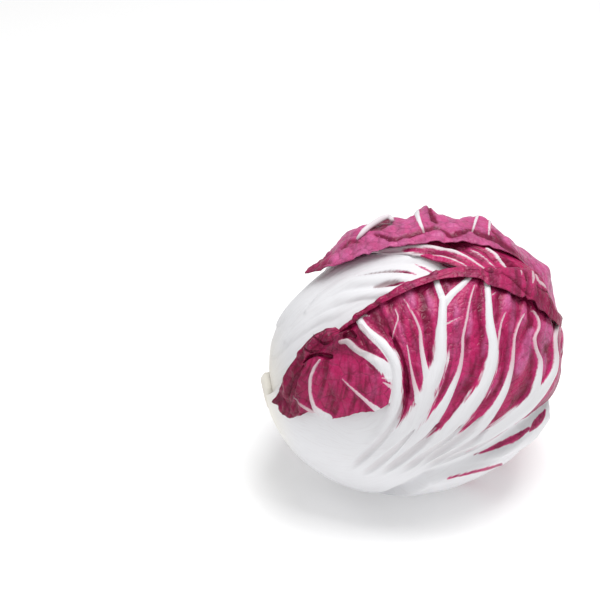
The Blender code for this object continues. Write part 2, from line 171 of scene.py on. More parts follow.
@dataclass(frozen=True)
class Head:
    """The spheroid under the leaves, the way the stem points and the eye of the photograph.

    A picture point (x, y) counts steps from the top left of a picture 600 steps wide, and the
    centre is seen at mark. eye_slope is the sine and cosine of the angle by which the eye looks
    down. long_lean and stem_lean say how far the two axes go right and up in the picture.
    """

    centre: Triple = (1.46, -0.59, 55.6)
    long_radius: float = 57.0
    round_radius: float = 49.6
    long_lean: Pair = (-0.917, -0.399)
    stem_lean: Pair = (-0.975, -0.222)
    mark: Pair = (413.7, 355.3)
    picture_middle: Pair = (300.0, 300.0)
    eye_distance: float = 937.5
    eye_slope: Pair = (0.5, 0.8660254)
    floor_blend: float = 0.4
    sag: float = 0.9
    sag_point: Pair = (8.0, 4.0)
    sag_spread: float = 16.0
    sag_tall: float = 12.0

    @property
    def right(self) -> Array:
        """Rightwards in the picture."""
        return np.array([1.0, 0.0, 0.0])

    @property
    def up(self) -> Array:
        """Upwards in the picture."""
        return np.array([0.0, *self.eye_slope])

    @property
    def toward(self) -> Array:
        """Towards the eye."""
        sine, cosine = self.eye_slope
        return np.array([0.0, -cosine, sine])

    @property
    def long_axis(self) -> Array:
        """The spheroid's long axis."""
        return unit(self.long_lean[0] * self.right + self.long_lean[1] * self.up)

    @property
    def stem_axis(self) -> Array:
        """The way the stem points."""
        return unit(self.stem_lean[0] * self.right + self.stem_lean[1] * self.up)

    @property
    def side_axis(self) -> Array:
        """Square to the stem and to the eye's direction, on top of the head."""
        return unit(self.up - (self.up @ self.stem_axis) * self.stem_axis)

    @property
    def eye(self) -> Array:
        """The eye, in mm from the head's centre."""
        across = (self.picture_middle[0] - self.mark[0]) * STEP
        down = (self.picture_middle[1] - self.mark[1]) * STEP
        return across * self.right - down * self.up + self.eye_distance * self.toward

    def around(self, *marks: Pair) -> Array:
        """Unit directions from angles from the stem and angles round it, in degrees."""
        away, turn = np.radians(np.array(marks, float)).T
        across = np.cos(turn)[:, None] * self.toward + np.sin(turn)[:, None] * self.side_axis
        return np.cos(away)[:, None] * self.stem_axis + np.sin(away)[:, None] * across

    def angles(self, direction: Array) -> tuple[Array, Array]:
        """Angle from the stem and angle round it, in degrees, of unit directions."""
        away = np.degrees(np.arccos(np.clip(direction @ self.stem_axis, -1.0, 1.0)))
        turn = np.degrees(np.arctan2(direction @ self.side_axis, direction @ self.toward))
        return away, turn

    def seen(self, *marks: Pair, height: float = OUTERMOST) -> Array:
        """Unit directions where the eye's rays through picture points meet the spheroid.

        Args:
            marks: picture points.
            height: height above the spheroid in mm at which they are read.

        Returns:
            The nearer crossing of each ray with the spheroid, scaled to a unit direction.
        """
        spots = np.array(marks, float)
        flat = (spots - np.array(self.mark)) * (STEP, -STEP)
        ray = flat[:, :1] * self.right + flat[:, 1:] * self.up - self.eye

        def unstretch(vector: Array) -> Array:
            """Scale space so that the spheroid is a unit ball."""
            along = (vector @ self.long_axis)[..., None] * self.long_axis
            return ((vector - along) / (self.round_radius + height)
                    + along / (self.long_radius + height))

        start, run = unstretch(self.eye), unstretch(ray)
        square = (run * run).sum(1)
        middle = run @ start
        inside = np.clip(middle ** 2 - square * (start @ start - 1.0), 0.0, None)
        return unit(start + run * ((-middle - np.sqrt(inside)) / square)[:, None])

    def picture(self, point: Array) -> Array:
        """Picture points at which points in mm are seen."""
        out = point - np.array(self.centre)
        scale = self.eye_distance / (self.eye_distance - out @ self.toward)
        shift = out - self.eye
        x = (shift @ self.right) * scale / STEP + self.picture_middle[0]
        y = -(shift @ self.up) * scale / STEP + self.picture_middle[1]
        return np.stack([x, y], axis=-1)

    def place(self, direction: Array, height: Array | float) -> Array:
        """Points in mm at a height above the spheroid, flattened where the head rests.

        Args:
            direction: unit directions.
            height: heights in mm, or one height for all.

        Returns:
            Centre plus the stretched direction plus the height along it; the underside sags a
            little under the weight, and below the resting flat the level is held, with a
            square-law blend into it.
        """
        height = np.broadcast_to(height, direction.shape[:-1])
        stretch = (self.long_radius - self.round_radius) * (direction @ self.long_axis)[..., None]
        point = (np.array(self.centre) + stretch * self.long_axis
                 + direction * (self.round_radius + height)[..., None])
        level = np.clip(OUTERMOST - height, 0.0, None)
        above = point[..., 2] - level
        aside = np.hypot(point[..., 0] - self.sag_point[0], point[..., 1] - self.sag_point[1])
        above -= self.sag * np.exp(-(aside / self.sag_spread) ** 2 - (above / self.sag_tall) ** 2)
        blend = self.floor_blend
        eased = (above + blend) ** 2 / (4.0 * blend)
        point[..., 2] = level + np.where(above > blend, above,
                                         np.where(above < -blend, 0.0, eased))
        return point


HEAD = Head()


def smooth_curve(points: Array, knots: Array, slope: Array, at: Array) -> Array:
    """Cubic curve through points at their knots with the given slopes, read at some places."""
    index = np.clip(np.searchsorted(knots, at, side="right") - 1, 0, len(knots) - 2)
    span = knots[index + 1] - knots[index]
    shape = (-1,) + (1,) * (points.ndim - 1)
    t = ((at - knots[index]) / span).reshape(shape)
    span = span.reshape(shape)
    return ((1 + 2 * t) * (1 - t) ** 2 * points[index] + t * (1 - t) ** 2 * span * slope[index]
            + t * t * (3 - 2 * t) * points[index + 1] + t * t * (t - 1) * span * slope[index + 1])


def smooth_line(points: Array, at: Array) -> Array:
    """Smooth line through points, read at fractions of its length."""
    length = running(gaps(points, 0))
    length = length / length[-1]
    return smooth_curve(points, length, np.gradient(points, length, axis=0), at)


def smooth_across(points: Array, at: Array) -> Array:
    """Smooth line through evenly numbered points, with no overshoot between uneven gaps."""
    gap = np.diff(points, axis=0)
    size = np.linalg.norm(gap, axis=-1, keepdims=True) + 1e-9
    inner = (gap[:-1] * size[1:] + gap[1:] * size[:-1]) / (size[:-1] + size[1:])
    slope = np.concatenate([gap[:1], inner, gap[-1:]])
    return smooth_curve(points, np.arange(len(points), dtype=float), slope, at)


def fan(count: int, rows: Marks, droop: float) -> list[Array]:
    """Vein columns spread evenly between two edges given as (away, first, last) rows.

    Args:
        count: number of columns.
        rows: angle from the stem, and the two edges' angles round it, in degrees.
        droop: how far back the tip falls at its corners, as a share of the length.

    Returns:
        One line of unit directions for each column.
    """
    table = np.array(rows, float)
    columns = []
    for share in np.linspace(0.0, 1.0, count):
        away = RING + (table[:, 0] - RING) * (1.0 - droop * abs(2.0 * share - 1.0) ** 3)
        turn = table[:, 1] + (table[:, 2] - table[:, 1]) * share
        columns.append(HEAD.around(*zip(away, turn)))
    return columns


@dataclass
class Net:
    """A leaf's net of vein columns, read as a fine grid of unit directions.

    The grid's columns crowd together near a vein by the share crowding within crowd_width of a
    gap, and even_share keeps narrow gaps from taking too few of them.
    """

    columns: list[Array]
    crowding: float = 0.7
    crowd_width: float = 0.17
    even_share: float = 0.15
    samples: int = 241
    across: Array = field(init=False)
    along: Array = field(init=False)

    def spread(self, wide: int, long: int) -> "Net":
        """Choose the grid: columns closer together near each vein, rows evenly along.

        Args:
            wide: number of grid columns.
            long: number of grid rows.

        Returns:
            This net.
        """
        rows = np.linspace(0.0, 1.0, 12)
        lines = np.stack([smooth_line(column, rows) for column in self.columns])
        width = gaps(lines, 0).mean(1)
        fine = np.linspace(0.0, len(width), 40 * len(width) + 1)
        near = np.abs(fine - np.rint(fine))
        weight = width[np.clip(fine.astype(int), 0, len(width) - 1)]
        weight = (weight * (1.0 + self.crowding * np.exp(-(near / self.crowd_width) ** 2))
                  + width.mean() * self.even_share)
        total = running((weight[1:] + weight[:-1]) * 0.5)
        self.across = np.interp(np.linspace(0.0, total[-1], wide), total, fine)
        self.along = np.linspace(0.0, 1.0, long)
        return self

    def read(self, shift: Array | None = None, reach: Array | None = None) -> Array:
        """Unit directions of the grid.

        Args:
            shift: how far each row of each column is pulled back, as shares of the length; None
                for not at all.
            reach: rows to read instead of the grid's own.

        Returns:
            Rows by columns by 3.
        """
        along = self.along if reach is None else reach
        fine = np.linspace(0.0, 1.0, self.samples)
        lines = np.stack([smooth_line(column, fine) for column in self.columns])
        grid = smooth_across(lines, self.across)
        at = np.broadcast_to(along[None, :], (len(self.across), len(along)))
        if shift is not None:
            at = np.clip(at - shift.T, 0.0, 1.0)
        place = at * (len(fine) - 1)
        low = np.clip(place.astype(int), 0, len(fine) - 2)
        part = (place - low)[..., None]
        pick = np.arange(len(self.across))[:, None]
        grid = grid[pick, low] * (1.0 - part) + grid[pick, low + 1] * part
        return unit(grid.transpose(1, 0, 2))


@dataclass(frozen=True)
class Stroke:
    """A vein, crease or patch drawn through picture points.

    marks holds (x, y, half width) in picture steps, height is its relief in mm, cap the greatest
    half width of that relief in steps, and fade the share of its length over which it ends.
    """

    marks: Marks
    height: float = 1.0
    cap: float = 7.0
    fade: float = 0.3


def draw(spots: Array, strokes: tuple[Stroke, ...]) -> tuple[Array, Array, Array]:
    """Distances to strokes and the relief they make.

    Args:
        spots: picture points of the surface.
        strokes: what is drawn.

    Returns:
        The distance to the nearest border in mm, negative inside a stroke; the relief in mm, as
        the largest of height times one less the square of the share of the half width, to a
        power that makes wide ribs softer at their feet; and the half width there in steps.
    """
    border = np.full(spots.shape[:-1], FAR)
    relief = np.zeros(spots.shape[:-1])
    width = np.zeros(spots.shape[:-1])
    for stroke in strokes:
        marks = np.array(stroke.marks, float)
        if len(marks) > 2:
            marks = smooth_line(marks, np.linspace(0.0, 1.0, 4 * len(marks)))
        near = np.full(spots.shape[:-1], FAR)
        half = np.ones(spots.shape[:-1])
        done = np.zeros(spots.shape[:-1])
        steps = len(marks) - 1
        for k, (one, two) in enumerate(zip(marks, marks[1:])):
            run = two[:2] - one[:2]
            share = np.clip(((spots - one[:2]) @ run) / (run @ run + 1e-9), 0.0, 1.0)
            apart = np.linalg.norm(spots - one[:2] - share[..., None] * run, axis=-1)
            wide = one[2] + (two[2] - one[2]) * share
            better = apart - wide < near - half
            near = np.where(better, apart, near)
            half = np.where(better, wide, half)
            done = np.where(better, (k + share) / steps, done)
        closer = (near - half) * STEP < border
        border = np.where(closer, (near - half) * STEP, border)
        width = np.where(closer, half, width)
        inside = np.clip(1.0 - (near / (np.minimum(half, stroke.cap) * 1.2)) ** 2, 0.0, None)
        rise = stroke.height * inside ** (0.8 + 0.9 * ease((half - 4.0) / 4.0))
        rise = rise * ease((1.0 - done) / stroke.fade)
        relief = np.where(np.abs(rise) > np.abs(relief), rise, relief)
    return border, relief, width


@dataclass
class Skin:
    """What the finishes read at each vertex of a sheet, as grids.

    white is how far inside the white ribs a point is in mm, feather how ragged that border is in
    mm, lilac how pale and pinkish the blade is, as its own tone and as painted highlight, shade
    how dark, mostly as painted shade, cream how yellowish, valley the distance in mm to the
    nearest fine vein, and thin how narrow and pinkish a rib is. All but white may be one number
    for the whole sheet.
    """

    white: Array
    feather: Array | float = 0.0
    lilac: Array | float = 0.0
    shade: Array | float = 0.0
    cream: Array | float = 0.0
    valley: Array | float = 9.0
    thin: Array | float = 0.0

    def grid(self, label: str) -> Array:
        """One field as a grid."""
        return np.broadcast_to(getattr(self, label), self.white.shape)

    def then(self, other: "Skin") -> "Skin":
        """This skin's rows, with another's after them."""
        return Skin(*(np.concatenate([self.grid(label), other.grid(label)]) for label in FIELDS))

    def spread(self, mesh: bpy.types.Mesh, pick: Array) -> None:
        """Write the values to a mesh's vertices; pick is the grid point of each vertex."""
        for label in FIELDS:
            values = self.grid(label).ravel()[pick].astype(np.float32)
            mesh.attributes.new(label, "FLOAT", "POINT").data.foreach_set("value", values)


FIELDS = tuple(item.name for item in fields(Skin))


def creamy(away: Array) -> Array:
    """How yellowish a leaf is, by its angle from the stem."""
    return ease((34.0 - away) / 26.0)


def grid_normals(points: Array) -> Array:
    """Unit normals of a grid, from the cross product of its two slopes."""
    normal = np.cross(np.gradient(points, axis=1), np.gradient(points, axis=0))
    return normal / (np.linalg.norm(normal, axis=2, keepdims=True) + 1e-12)


def facing(outer: Array) -> Side:
    """Whether a grid's own normals face outwards from the head, by most of its first rows."""
    rows = outer[: max(4, outer.shape[0] // 2)]
    normal = grid_normals(rows)
    out = (normal * (rows - np.array(HEAD.centre))).sum(-1).mean()
    return Side.OUTWARD if out > 0.0 else Side.INWARD


def shell(name: str, outer: Array, thickness: Array, skin: Skin,
          coarse: tuple[Array, Array]) -> Item:
    """Closed leaf blade from a grid of points: the grid, its copy set inwards and a rim.

    Args:
        name: the piece's name.
        outer: rows by columns by 3, in mm.
        thickness: blade thickness in mm, rows by columns.
        skin: what the finish reads.
        coarse: the rows and the columns that the inner wall keeps, first and last among them.

    Returns:
        The object, with its attributes and a UV map in metres.
    """
    rows, columns = outer.shape[:2]
    side = facing(outer)
    inner = outer - grid_normals(outer) * side.value * thickness[..., None]
    count = rows * columns
    index = np.arange(count).reshape(rows, columns)
    kept_rows, kept_columns = coarse
    pick = index[np.ix_(kept_rows, kept_columns)]
    back = np.arange(pick.size).reshape(pick.shape) + count
    picked = np.concatenate([index.ravel(), pick.ravel()])
    vertices = np.concatenate([outer.reshape(-1, 3), inner.reshape(-1, 3)[pick.ravel()]]) * MM

    def quads(grid: Array) -> Array:
        """Four corners of each face of a grid."""
        around = (grid[:-1, :-1], grid[:-1, 1:], grid[1:, 1:], grid[1:, :-1])
        return np.stack(around, axis=-1).reshape(-1, 4)

    flat = np.concatenate([quads(index), quads(back)[:, ::-1]])
    walls = []
    for line, wall, marks, turned in (
            (index[0], back[0], kept_columns, False), (index[-1], back[-1], kept_columns, True),
            (index[:, 0], back[:, 0], kept_rows, True), (index[:, -1], back[:, -1], kept_rows, False)):
        for k, (low, high) in enumerate(zip(marks, marks[1:])):
            edge = [*line[low:high + 1][::-1], wall[k], wall[k + 1]]
            walls.append(edge[::-1] if turned else edge)
    sizes = np.concatenate([np.full(len(flat), 4), [len(wall) for wall in walls]])
    corners = np.concatenate([flat.ravel(), np.concatenate(walls)]).astype(np.int32)
    starts = np.concatenate([[0], np.cumsum(sizes)[:-1]]).astype(np.int32)
    mesh = bpy.data.meshes.new(name)
    mesh.vertices.add(len(vertices))
    mesh.vertices.foreach_set("co", vertices.ravel())
    mesh.loops.add(len(corners))
    mesh.loops.foreach_set("vertex_index", corners)
    mesh.polygons.add(len(sizes))
    mesh.polygons.foreach_set("loop_start", starts)
    mesh.polygons.foreach_set("use_smooth", np.ones(len(sizes), dtype=bool))
    mesh.update(calc_edges=True)
    if side is Side.INWARD:
        mesh.flip_normals()
    skin.spread(mesh, picked)
    u, v = running(gaps(outer, 1).mean(0)), running(gaps(outer, 0).mean(1))
    chart = np.stack(np.broadcast_arrays(u[None, :], v[:, None]), axis=-1).reshape(-1, 2) * MM
    corner = np.empty(len(corners), dtype=np.int32)
    mesh.loops.foreach_get("vertex_index", corner)
    layer = mesh.uv_layers.new(name="leaf")
    layer.data.foreach_set("uv", chart[picked][corner].astype(np.float32).ravel())
    mesh.validate()
    item = bpy.data.objects.new(name, mesh)
    bpy.context.scene.collection.objects.link(item)
    return item


def every(count: int, step: int, fine: int = 0) -> Array:
    """Every step-th of count rows, the first and last among them, and all of the last fine ones."""
    return np.unique(np.concatenate([np.arange(0, count - fine, step),
                                     np.arange(count - 1 - fine, count)]))


def dress(piece: Item, node: str) -> Item:
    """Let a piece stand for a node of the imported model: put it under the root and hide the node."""
    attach(piece, "root")
    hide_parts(node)
    return piece


@dataclass
class Sheet:
    """A leaf blade: its grid's columns and rows, and its thickness in mm.

    The inner wall keeps every so many rows and columns, as inner_steps says.
    """

    wide: int = 200
    long: int = 200
    thickness: float = 0.8
    inner_steps: tuple[int, int] = (2, 2)

    def grid(self, count: int, rows: Marks, droop: float) -> tuple[Net, Array, Array, Array]:
        """The net of a leaf between two edges, with its directions and angles.

        Args:
            count: number of vein columns.
            rows: what fan reads.
            droop: how far back the tip falls at its corners, as a share of the length.

        Returns:
            The net, its unit directions, and their angles from the stem and round it.
        """
        net = Net(fan(count, rows, droop)).spread(self.wide, self.long)
        direction = net.read()
        return net, direction, *HEAD.angles(direction)

    def close(self, name: str, node: str, outer: Array, skin: Skin, share: Array | float = 1.0,
              fine: int = 0) -> Item:
        """The finished blade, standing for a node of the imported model.

        Args:
            name: the piece's name.
            node: the node that it stands for.
            outer: the outer face's grid of points in mm.
            skin: what the finish reads.
            share: how much of the thickness the blade has, which falls towards its edges.
            fine: how many of its last rows the inner wall keeps, all of them.

        Returns:
            The piece.
        """
        thickness = self.thickness * np.broadcast_to(share, outer.shape[:2])
        kept = every(len(outer), self.inner_steps[0], fine), every(self.wide, self.inner_steps[1])
        return dress(shell(name, outer, thickness, skin, kept), node)


# Veins of the front leaf, read off along each rib from its tip to the white base.
FRONT_VEINS = (
    Stroke(((443, 301, 4), (442, 318, 4.4), (441, 331, 5.2), (441, 346, 6.5), (440, 360, 7.2),
        (436, 372, 8), (431, 384, 8), (426, 398, 8.5), (417, 416, 9.5), (403, 435, 11), (387, 453, 13),
        (366, 468, 15)), 1.5),
    Stroke(((435, 277, 2.6), (438, 287, 3), (443, 300, 3.6)), 1.1),
    Stroke(((470, 277, 2.6), (461, 286, 3), (452, 294, 3.4), (444, 304, 3.8)), 1.1),
    Stroke(((446, 324, 0.9), (452, 321, 0.7), (460, 317, 0.4)), 0.35),
    Stroke(((486, 275, 2.8), (487, 290, 3), (488, 305, 3.3), (489, 320, 3.8), (491, 334, 4.6),
        (493, 346, 5), (492, 360, 5.4), (488, 374, 6), (482, 388, 6.6), (472, 402, 7), (460, 418, 7.6),
        (445, 435, 8.6), (426, 450, 10), (402, 464, 12)), 1.4),
    Stroke(((474, 286, 0.6), (470, 300, 0.8), (467, 318, 1), (463, 337, 1.3), (462, 356, 1.6),
        (459, 371, 2.2), (452, 388, 3.2), (445, 402, 4.2), (434, 418, 5.5), (420, 436, 7),
        (400, 453, 9)), 0.8),
    Stroke(((505, 312, 0.7), (501, 323, 0.9), (499, 335, 1.1), (497, 348, 1.4), (495, 362, 2)), 0.5),
    Stroke(((523, 314, 0.7), (518, 324, 0.9), (514, 337, 1.1), (513, 350, 1.5), (512, 362, 1.9),
        (509, 376, 2.6), (504, 390, 3.3), (497, 403, 3.8), (488, 416, 4.6), (475, 430, 6),
        (458, 442, 7.5), (436, 453, 9)), 1.0),
    Stroke(((532, 311, 1), (537, 319, 1.2), (538, 328, 1.3), (534, 337, 1.4), (536, 350, 1.8),
        (540, 360, 2.2), (539, 371, 2.8), (536, 384, 3.6), (533, 394, 4.4), (525, 405, 5.2),
        (512, 417, 6), (496, 429, 6.6), (477, 440, 7.6), (452, 451, 9)), 1.1),
    Stroke(((558, 326, 2.2), (555, 337, 2.2), (555, 347, 2.2), (556, 356, 2.5), (554, 368, 3),
        (547, 382, 3.8), (538, 394, 4.8), (527, 406, 5.5), (512, 418, 6), (496, 430, 6.5), (478, 441, 7),
        (457, 451, 8), (428, 463, 9)), 1.2),
    Stroke(((404, 299, 0.6), (410, 309, 0.8), (416, 320, 1), (420, 331, 1.4), (421, 343, 1.9),
        (423, 358, 2.5), (426, 373, 3.3), (429, 388, 5)), 0.8),
    Stroke(((407, 345, 0.5), (409, 356, 0.8), (411, 368, 1.1), (414, 382, 1.8), (417, 394, 2.8),
        (418, 405, 4), (412, 422, 7)), 0.6),
    Stroke(((357, 315, 3.2), (360, 321, 3.8), (366.5, 330, 4), (377, 339.5, 4.8), (386, 348.5, 5.4),
        (392, 357, 5.8), (396, 366, 5.4), (397, 377, 5.2), (397, 388, 5.6), (396, 400, 6.4),
        (392, 415, 8.4), (384, 430, 10), (372, 444, 13), (353, 456, 17)), 1.5),
    Stroke(((354, 318, 1.6), (359, 316.5, 2.2), (365, 315.5, 1.4), (370, 316, 0.5)), 0.5),
    Stroke(((338, 400, 22), (358, 414, 24), (374, 421, 17), (388, 412, 8)), 0.0),
    Stroke(((340, 462, 28), (384, 472, 25), (424, 472, 19), (458, 463, 12), (484, 452, 5)), 0.0),
    Stroke(((395, 309, 0.6), (398, 317, 0.8), (395, 328, 0.7), (392, 338, 0.5)), 0.3),
    Stroke(((488, 297, 0.9), (492, 295, 0.6), (496, 292, 0.4)), 0.3),
)
# Valleys between the folds of the white base, which are also painted darker as shade.
FRONT_GROOVES = (
    Stroke(((389, 332, 0.6), (397, 346, 2.2), (404, 362, 3), (407, 380, 3.2), (406, 396, 3),
        (401, 412, 3), (392, 426, 3), (378, 440, 2.6), (362, 452, 1.6)), -1.2),
    Stroke(((396, 420, 1), (388, 432, 2.6), (375, 446, 3.2), (360, 460, 3), (346, 472, 2)), -1.1),
    Stroke(((414, 430, 1), (402, 442, 2.8), (388, 455, 3.4), (372, 468, 3), (356, 478, 2)), -1.1),
    Stroke(((438, 424, 1), (428, 438, 2.8), (412, 452, 3.6), (394, 465, 3.2), (376, 476, 2)), -1.3),
    Stroke(((462, 424, 1), (450, 436, 2.4), (434, 449, 3.2), (416, 462, 3), (396, 474, 2)), -1.1),
    Stroke(((481, 417, 0.8), (470, 429, 2.4), (454, 442, 3), (436, 455, 3), (416, 467, 2)), -1.2),
    Stroke(((485, 430, 0.8), (472, 441, 2.2), (456, 451, 2.8), (438, 461, 2.6), (420, 470, 1.6)), -1.0),
    Stroke(((513, 425, 0.6), (496, 436, 2), (476, 446, 2.4), (454, 456, 2.2), (432, 466, 1.4)), -0.9),
    Stroke(((528, 417, 0.6), (512, 428, 1.8), (492, 439, 2), (470, 449, 1.6)), -0.7),
)
# Creases between the ribs, grooved a little and painted darker as shade.
FRONT_LINES = (
    Stroke(((388, 318, 0.8), (391, 332, 1.4), (398, 348, 1.6), (404, 368, 1.8), (408, 392, 1.4)), 0.0),
    Stroke(((418, 288, 0.8), (426, 304, 1.2), (430, 326, 1.4), (431, 350, 1.2), (428, 372, 0.8)), 0.0),
    Stroke(((476, 290, 0.8), (472, 312, 1.4), (468, 336, 1.2), (466, 356, 0.8)), 0.0),
    Stroke(((480, 284, 0.6), (479, 300, 1.2), (480, 320, 1), (483, 336, 0.6)), 0.0),
    Stroke(((498, 296, 0.6), (499, 310, 1), (494, 326, 0.8)), 0.0),
    Stroke(((504, 330, 0.6), (506, 350, 1.2), (502, 372, 1.2), (494, 394, 0.8)), 0.0),
    Stroke(((528, 300, 0.6), (530, 320, 1), (526, 340, 1), (524, 356, 0.6)), 0.0),
    Stroke(((548, 322, 0.6), (546, 338, 1), (549, 356, 0.8)), 0.0),
)
# Shadow that the turned-over band throws on the blade.
FRONT_SHADOW = (
    Stroke(((345, 326, 1), (362, 312, 1.2), (380, 301, 1.4), (402, 290.5, 1.6), (420, 284.5, 1.8),
        (434, 279.5, 2), (450, 278.5, 2), (466, 278, 2), (484, 279, 2.4), (492, 283, 3), (506, 291, 3.6),
        (520, 300, 4), (534, 309, 4.6), (546, 317, 5), (556, 324, 4)), 0.0),
)
# Satin bulges of the blade, raised a little and painted paler as highlights.
FRONT_SHEEN = (
    Stroke(((408, 287, 3), (411, 299, 5.5), (414, 312, 3)), 0.6),
    Stroke(((427, 291, 2), (431, 306, 4.5), (433, 322, 2)), 0.5),
    Stroke(((446, 283, 1.5), (450, 288, 3), (453, 293, 1.5)), 0.4),
    Stroke(((470, 306, 1.5), (470, 324, 3), (467, 342, 1.5)), 0.5),
    Stroke(((487, 332, 1.5), (485, 347, 3.4), (480, 362, 1.5)), 0.4),
    Stroke(((531, 332, 4), (528, 346, 8), (522, 361, 7.5), (515, 380, 3)), 0.9),
    Stroke(((548, 316, 2), (549, 332, 5), (546, 348, 3)), 0.7),
    Stroke(((509, 290, 2), (506, 303, 4.5), (504, 318, 2)), 0.6),
    Stroke(((525, 302, 2), (523, 318, 3.5), (522, 330, 2)), 0.5),
    Stroke(((398, 320, 2), (402, 336, 3.5), (408, 353, 2)), 0.4),
    Stroke(((546, 354, 2), (544, 367, 3.5), (540, 381, 2)), 0.5),
    Stroke(((500, 368, 1.5), (494, 384, 3.4), (484, 398, 2)), 0.35),
    Stroke(((455, 300, 2), (456, 316, 3.4), (454, 334, 2)), 0.4),
)
# Pale torn veins and creases near the right end of the band.
BAND_VEINS = (
    Stroke(((531, 269, 0.6), (531.5, 276, 0.8), (530.5, 284, 0.6)), 0.5),
    Stroke(((534, 276, 0.6), (536, 281.5, 1), (541, 285.5, 1.2), (546, 288.5, 1.1),
        (551, 291, 0.8)), 0.6),
    Stroke(((517.5, 266, 0.5), (520, 272, 0.6), (521, 276, 0.3)), 0.2),
)
# Creases of the band, which are also painted darker as shade.
BAND_CREASES = (
    Stroke(((532.5, 267, 0.8), (535, 272, 2.2), (539, 277, 1.4)), -1.2, fade=0.1),
    Stroke(((535, 287, 0.8), (541, 290.5, 1.2), (549, 294, 1.2)), -0.7, fade=0.1),
    Stroke(((520, 268, 0.5), (524, 276, 1.1), (526, 286, 0.8)), -0.5),
    Stroke(((500, 273, 0.6), (512, 280, 1.4), (524, 291, 1.2), (536, 300, 0.8)), -0.7),
)
# Ribs, satin bulges and creases of the torn lobe; the bulges are painted paler as highlights and the
# creases darker as shade.
LOBE_VEINS = (
    Stroke(((342, 342.5, 1.8), (347, 341.5, 2.8), (352, 345.5, 3.2), (358, 350.5, 3), (366, 355, 3.6),
        (375, 360.5, 4.8), (384, 367, 6.4), (391, 374, 7.6)), 1.1),
    Stroke(((357, 315, 3.2), (360, 321, 3.8), (366.5, 330, 4), (377, 339.5, 4.8), (386, 348.5, 5.4),
        (392, 357, 5.8), (396, 366, 5.6), (397, 377, 5.4), (397, 388, 6), (395, 402, 6)), 1.2),
    Stroke(((399, 381, 4), (391, 379.5, 1.6), (382, 378, 0.5)), 0.2),
    Stroke(((399, 391, 4), (391, 387, 2), (383, 382.5, 0.5)), 0.2),
    Stroke(((343, 379, 0.4), (350, 386, 0.8), (357, 392.5, 1.3), (365, 399.5, 1.7), (372, 405.5, 2.2),
        (378, 410, 3)), 0.6),
    Stroke(((320, 360, 0.8), (314.5, 368, 1.5), (311, 377, 1.7), (310, 388, 1.7), (311.5, 398, 1.8),
        (315.5, 407, 2.3), (322, 413, 3), (330, 418, 3.6)), 0.9),
    Stroke(((293, 396, 0.5), (300, 402, 0.8), (308, 408, 1.2), (319, 414.5, 2)), 0.5),
)
LOBE_SHEEN = (
    Stroke(((346, 328, 2), (339, 339, 4), (328, 349, 3), (318, 350, 1.5)), 0.9),
    Stroke(((321, 334, 2), (310, 347, 3.4), (299, 361, 2)), 0.8),
    Stroke(((306, 370, 1.5), (300, 384, 3), (296, 400, 2)), 0.5),
    Stroke(((330, 372, 4), (334, 388, 6), (338, 402, 3)), 0.3),
    Stroke(((366, 366, 2), (374, 380, 4), (376, 394, 2)), 0.3),
    Stroke(((281, 400, 1), (286, 407, 2.6), (292, 410, 2.8), (298, 408, 1.4)), 0.5),
)
LOBE_CREASES = (
    Stroke(((302, 363, 0.8), (309, 357, 1.6), (317, 354.5, 1.8), (326, 356.5, 3),
        (334, 357, 2)), -1.9, fade=0.1),
    Stroke(((345, 338, 1.2), (350, 334, 3.4), (357, 338, 1.6)), -1.7, fade=0.1),
    Stroke(((302, 366, 0.8), (297, 378, 2), (294, 392, 2), (290, 406, 0.8)), -0.9),
    Stroke(((314, 336, 0.6), (322, 343, 1.6), (333, 342, 0.8)), -0.9),
    Stroke(((296, 374, 0.6), (290, 388, 1.6), (285, 402, 0.8)), -0.7),
    Stroke(((306, 348, 0.6), (312, 352, 1.4), (320, 350, 0.8)), -0.9),
)
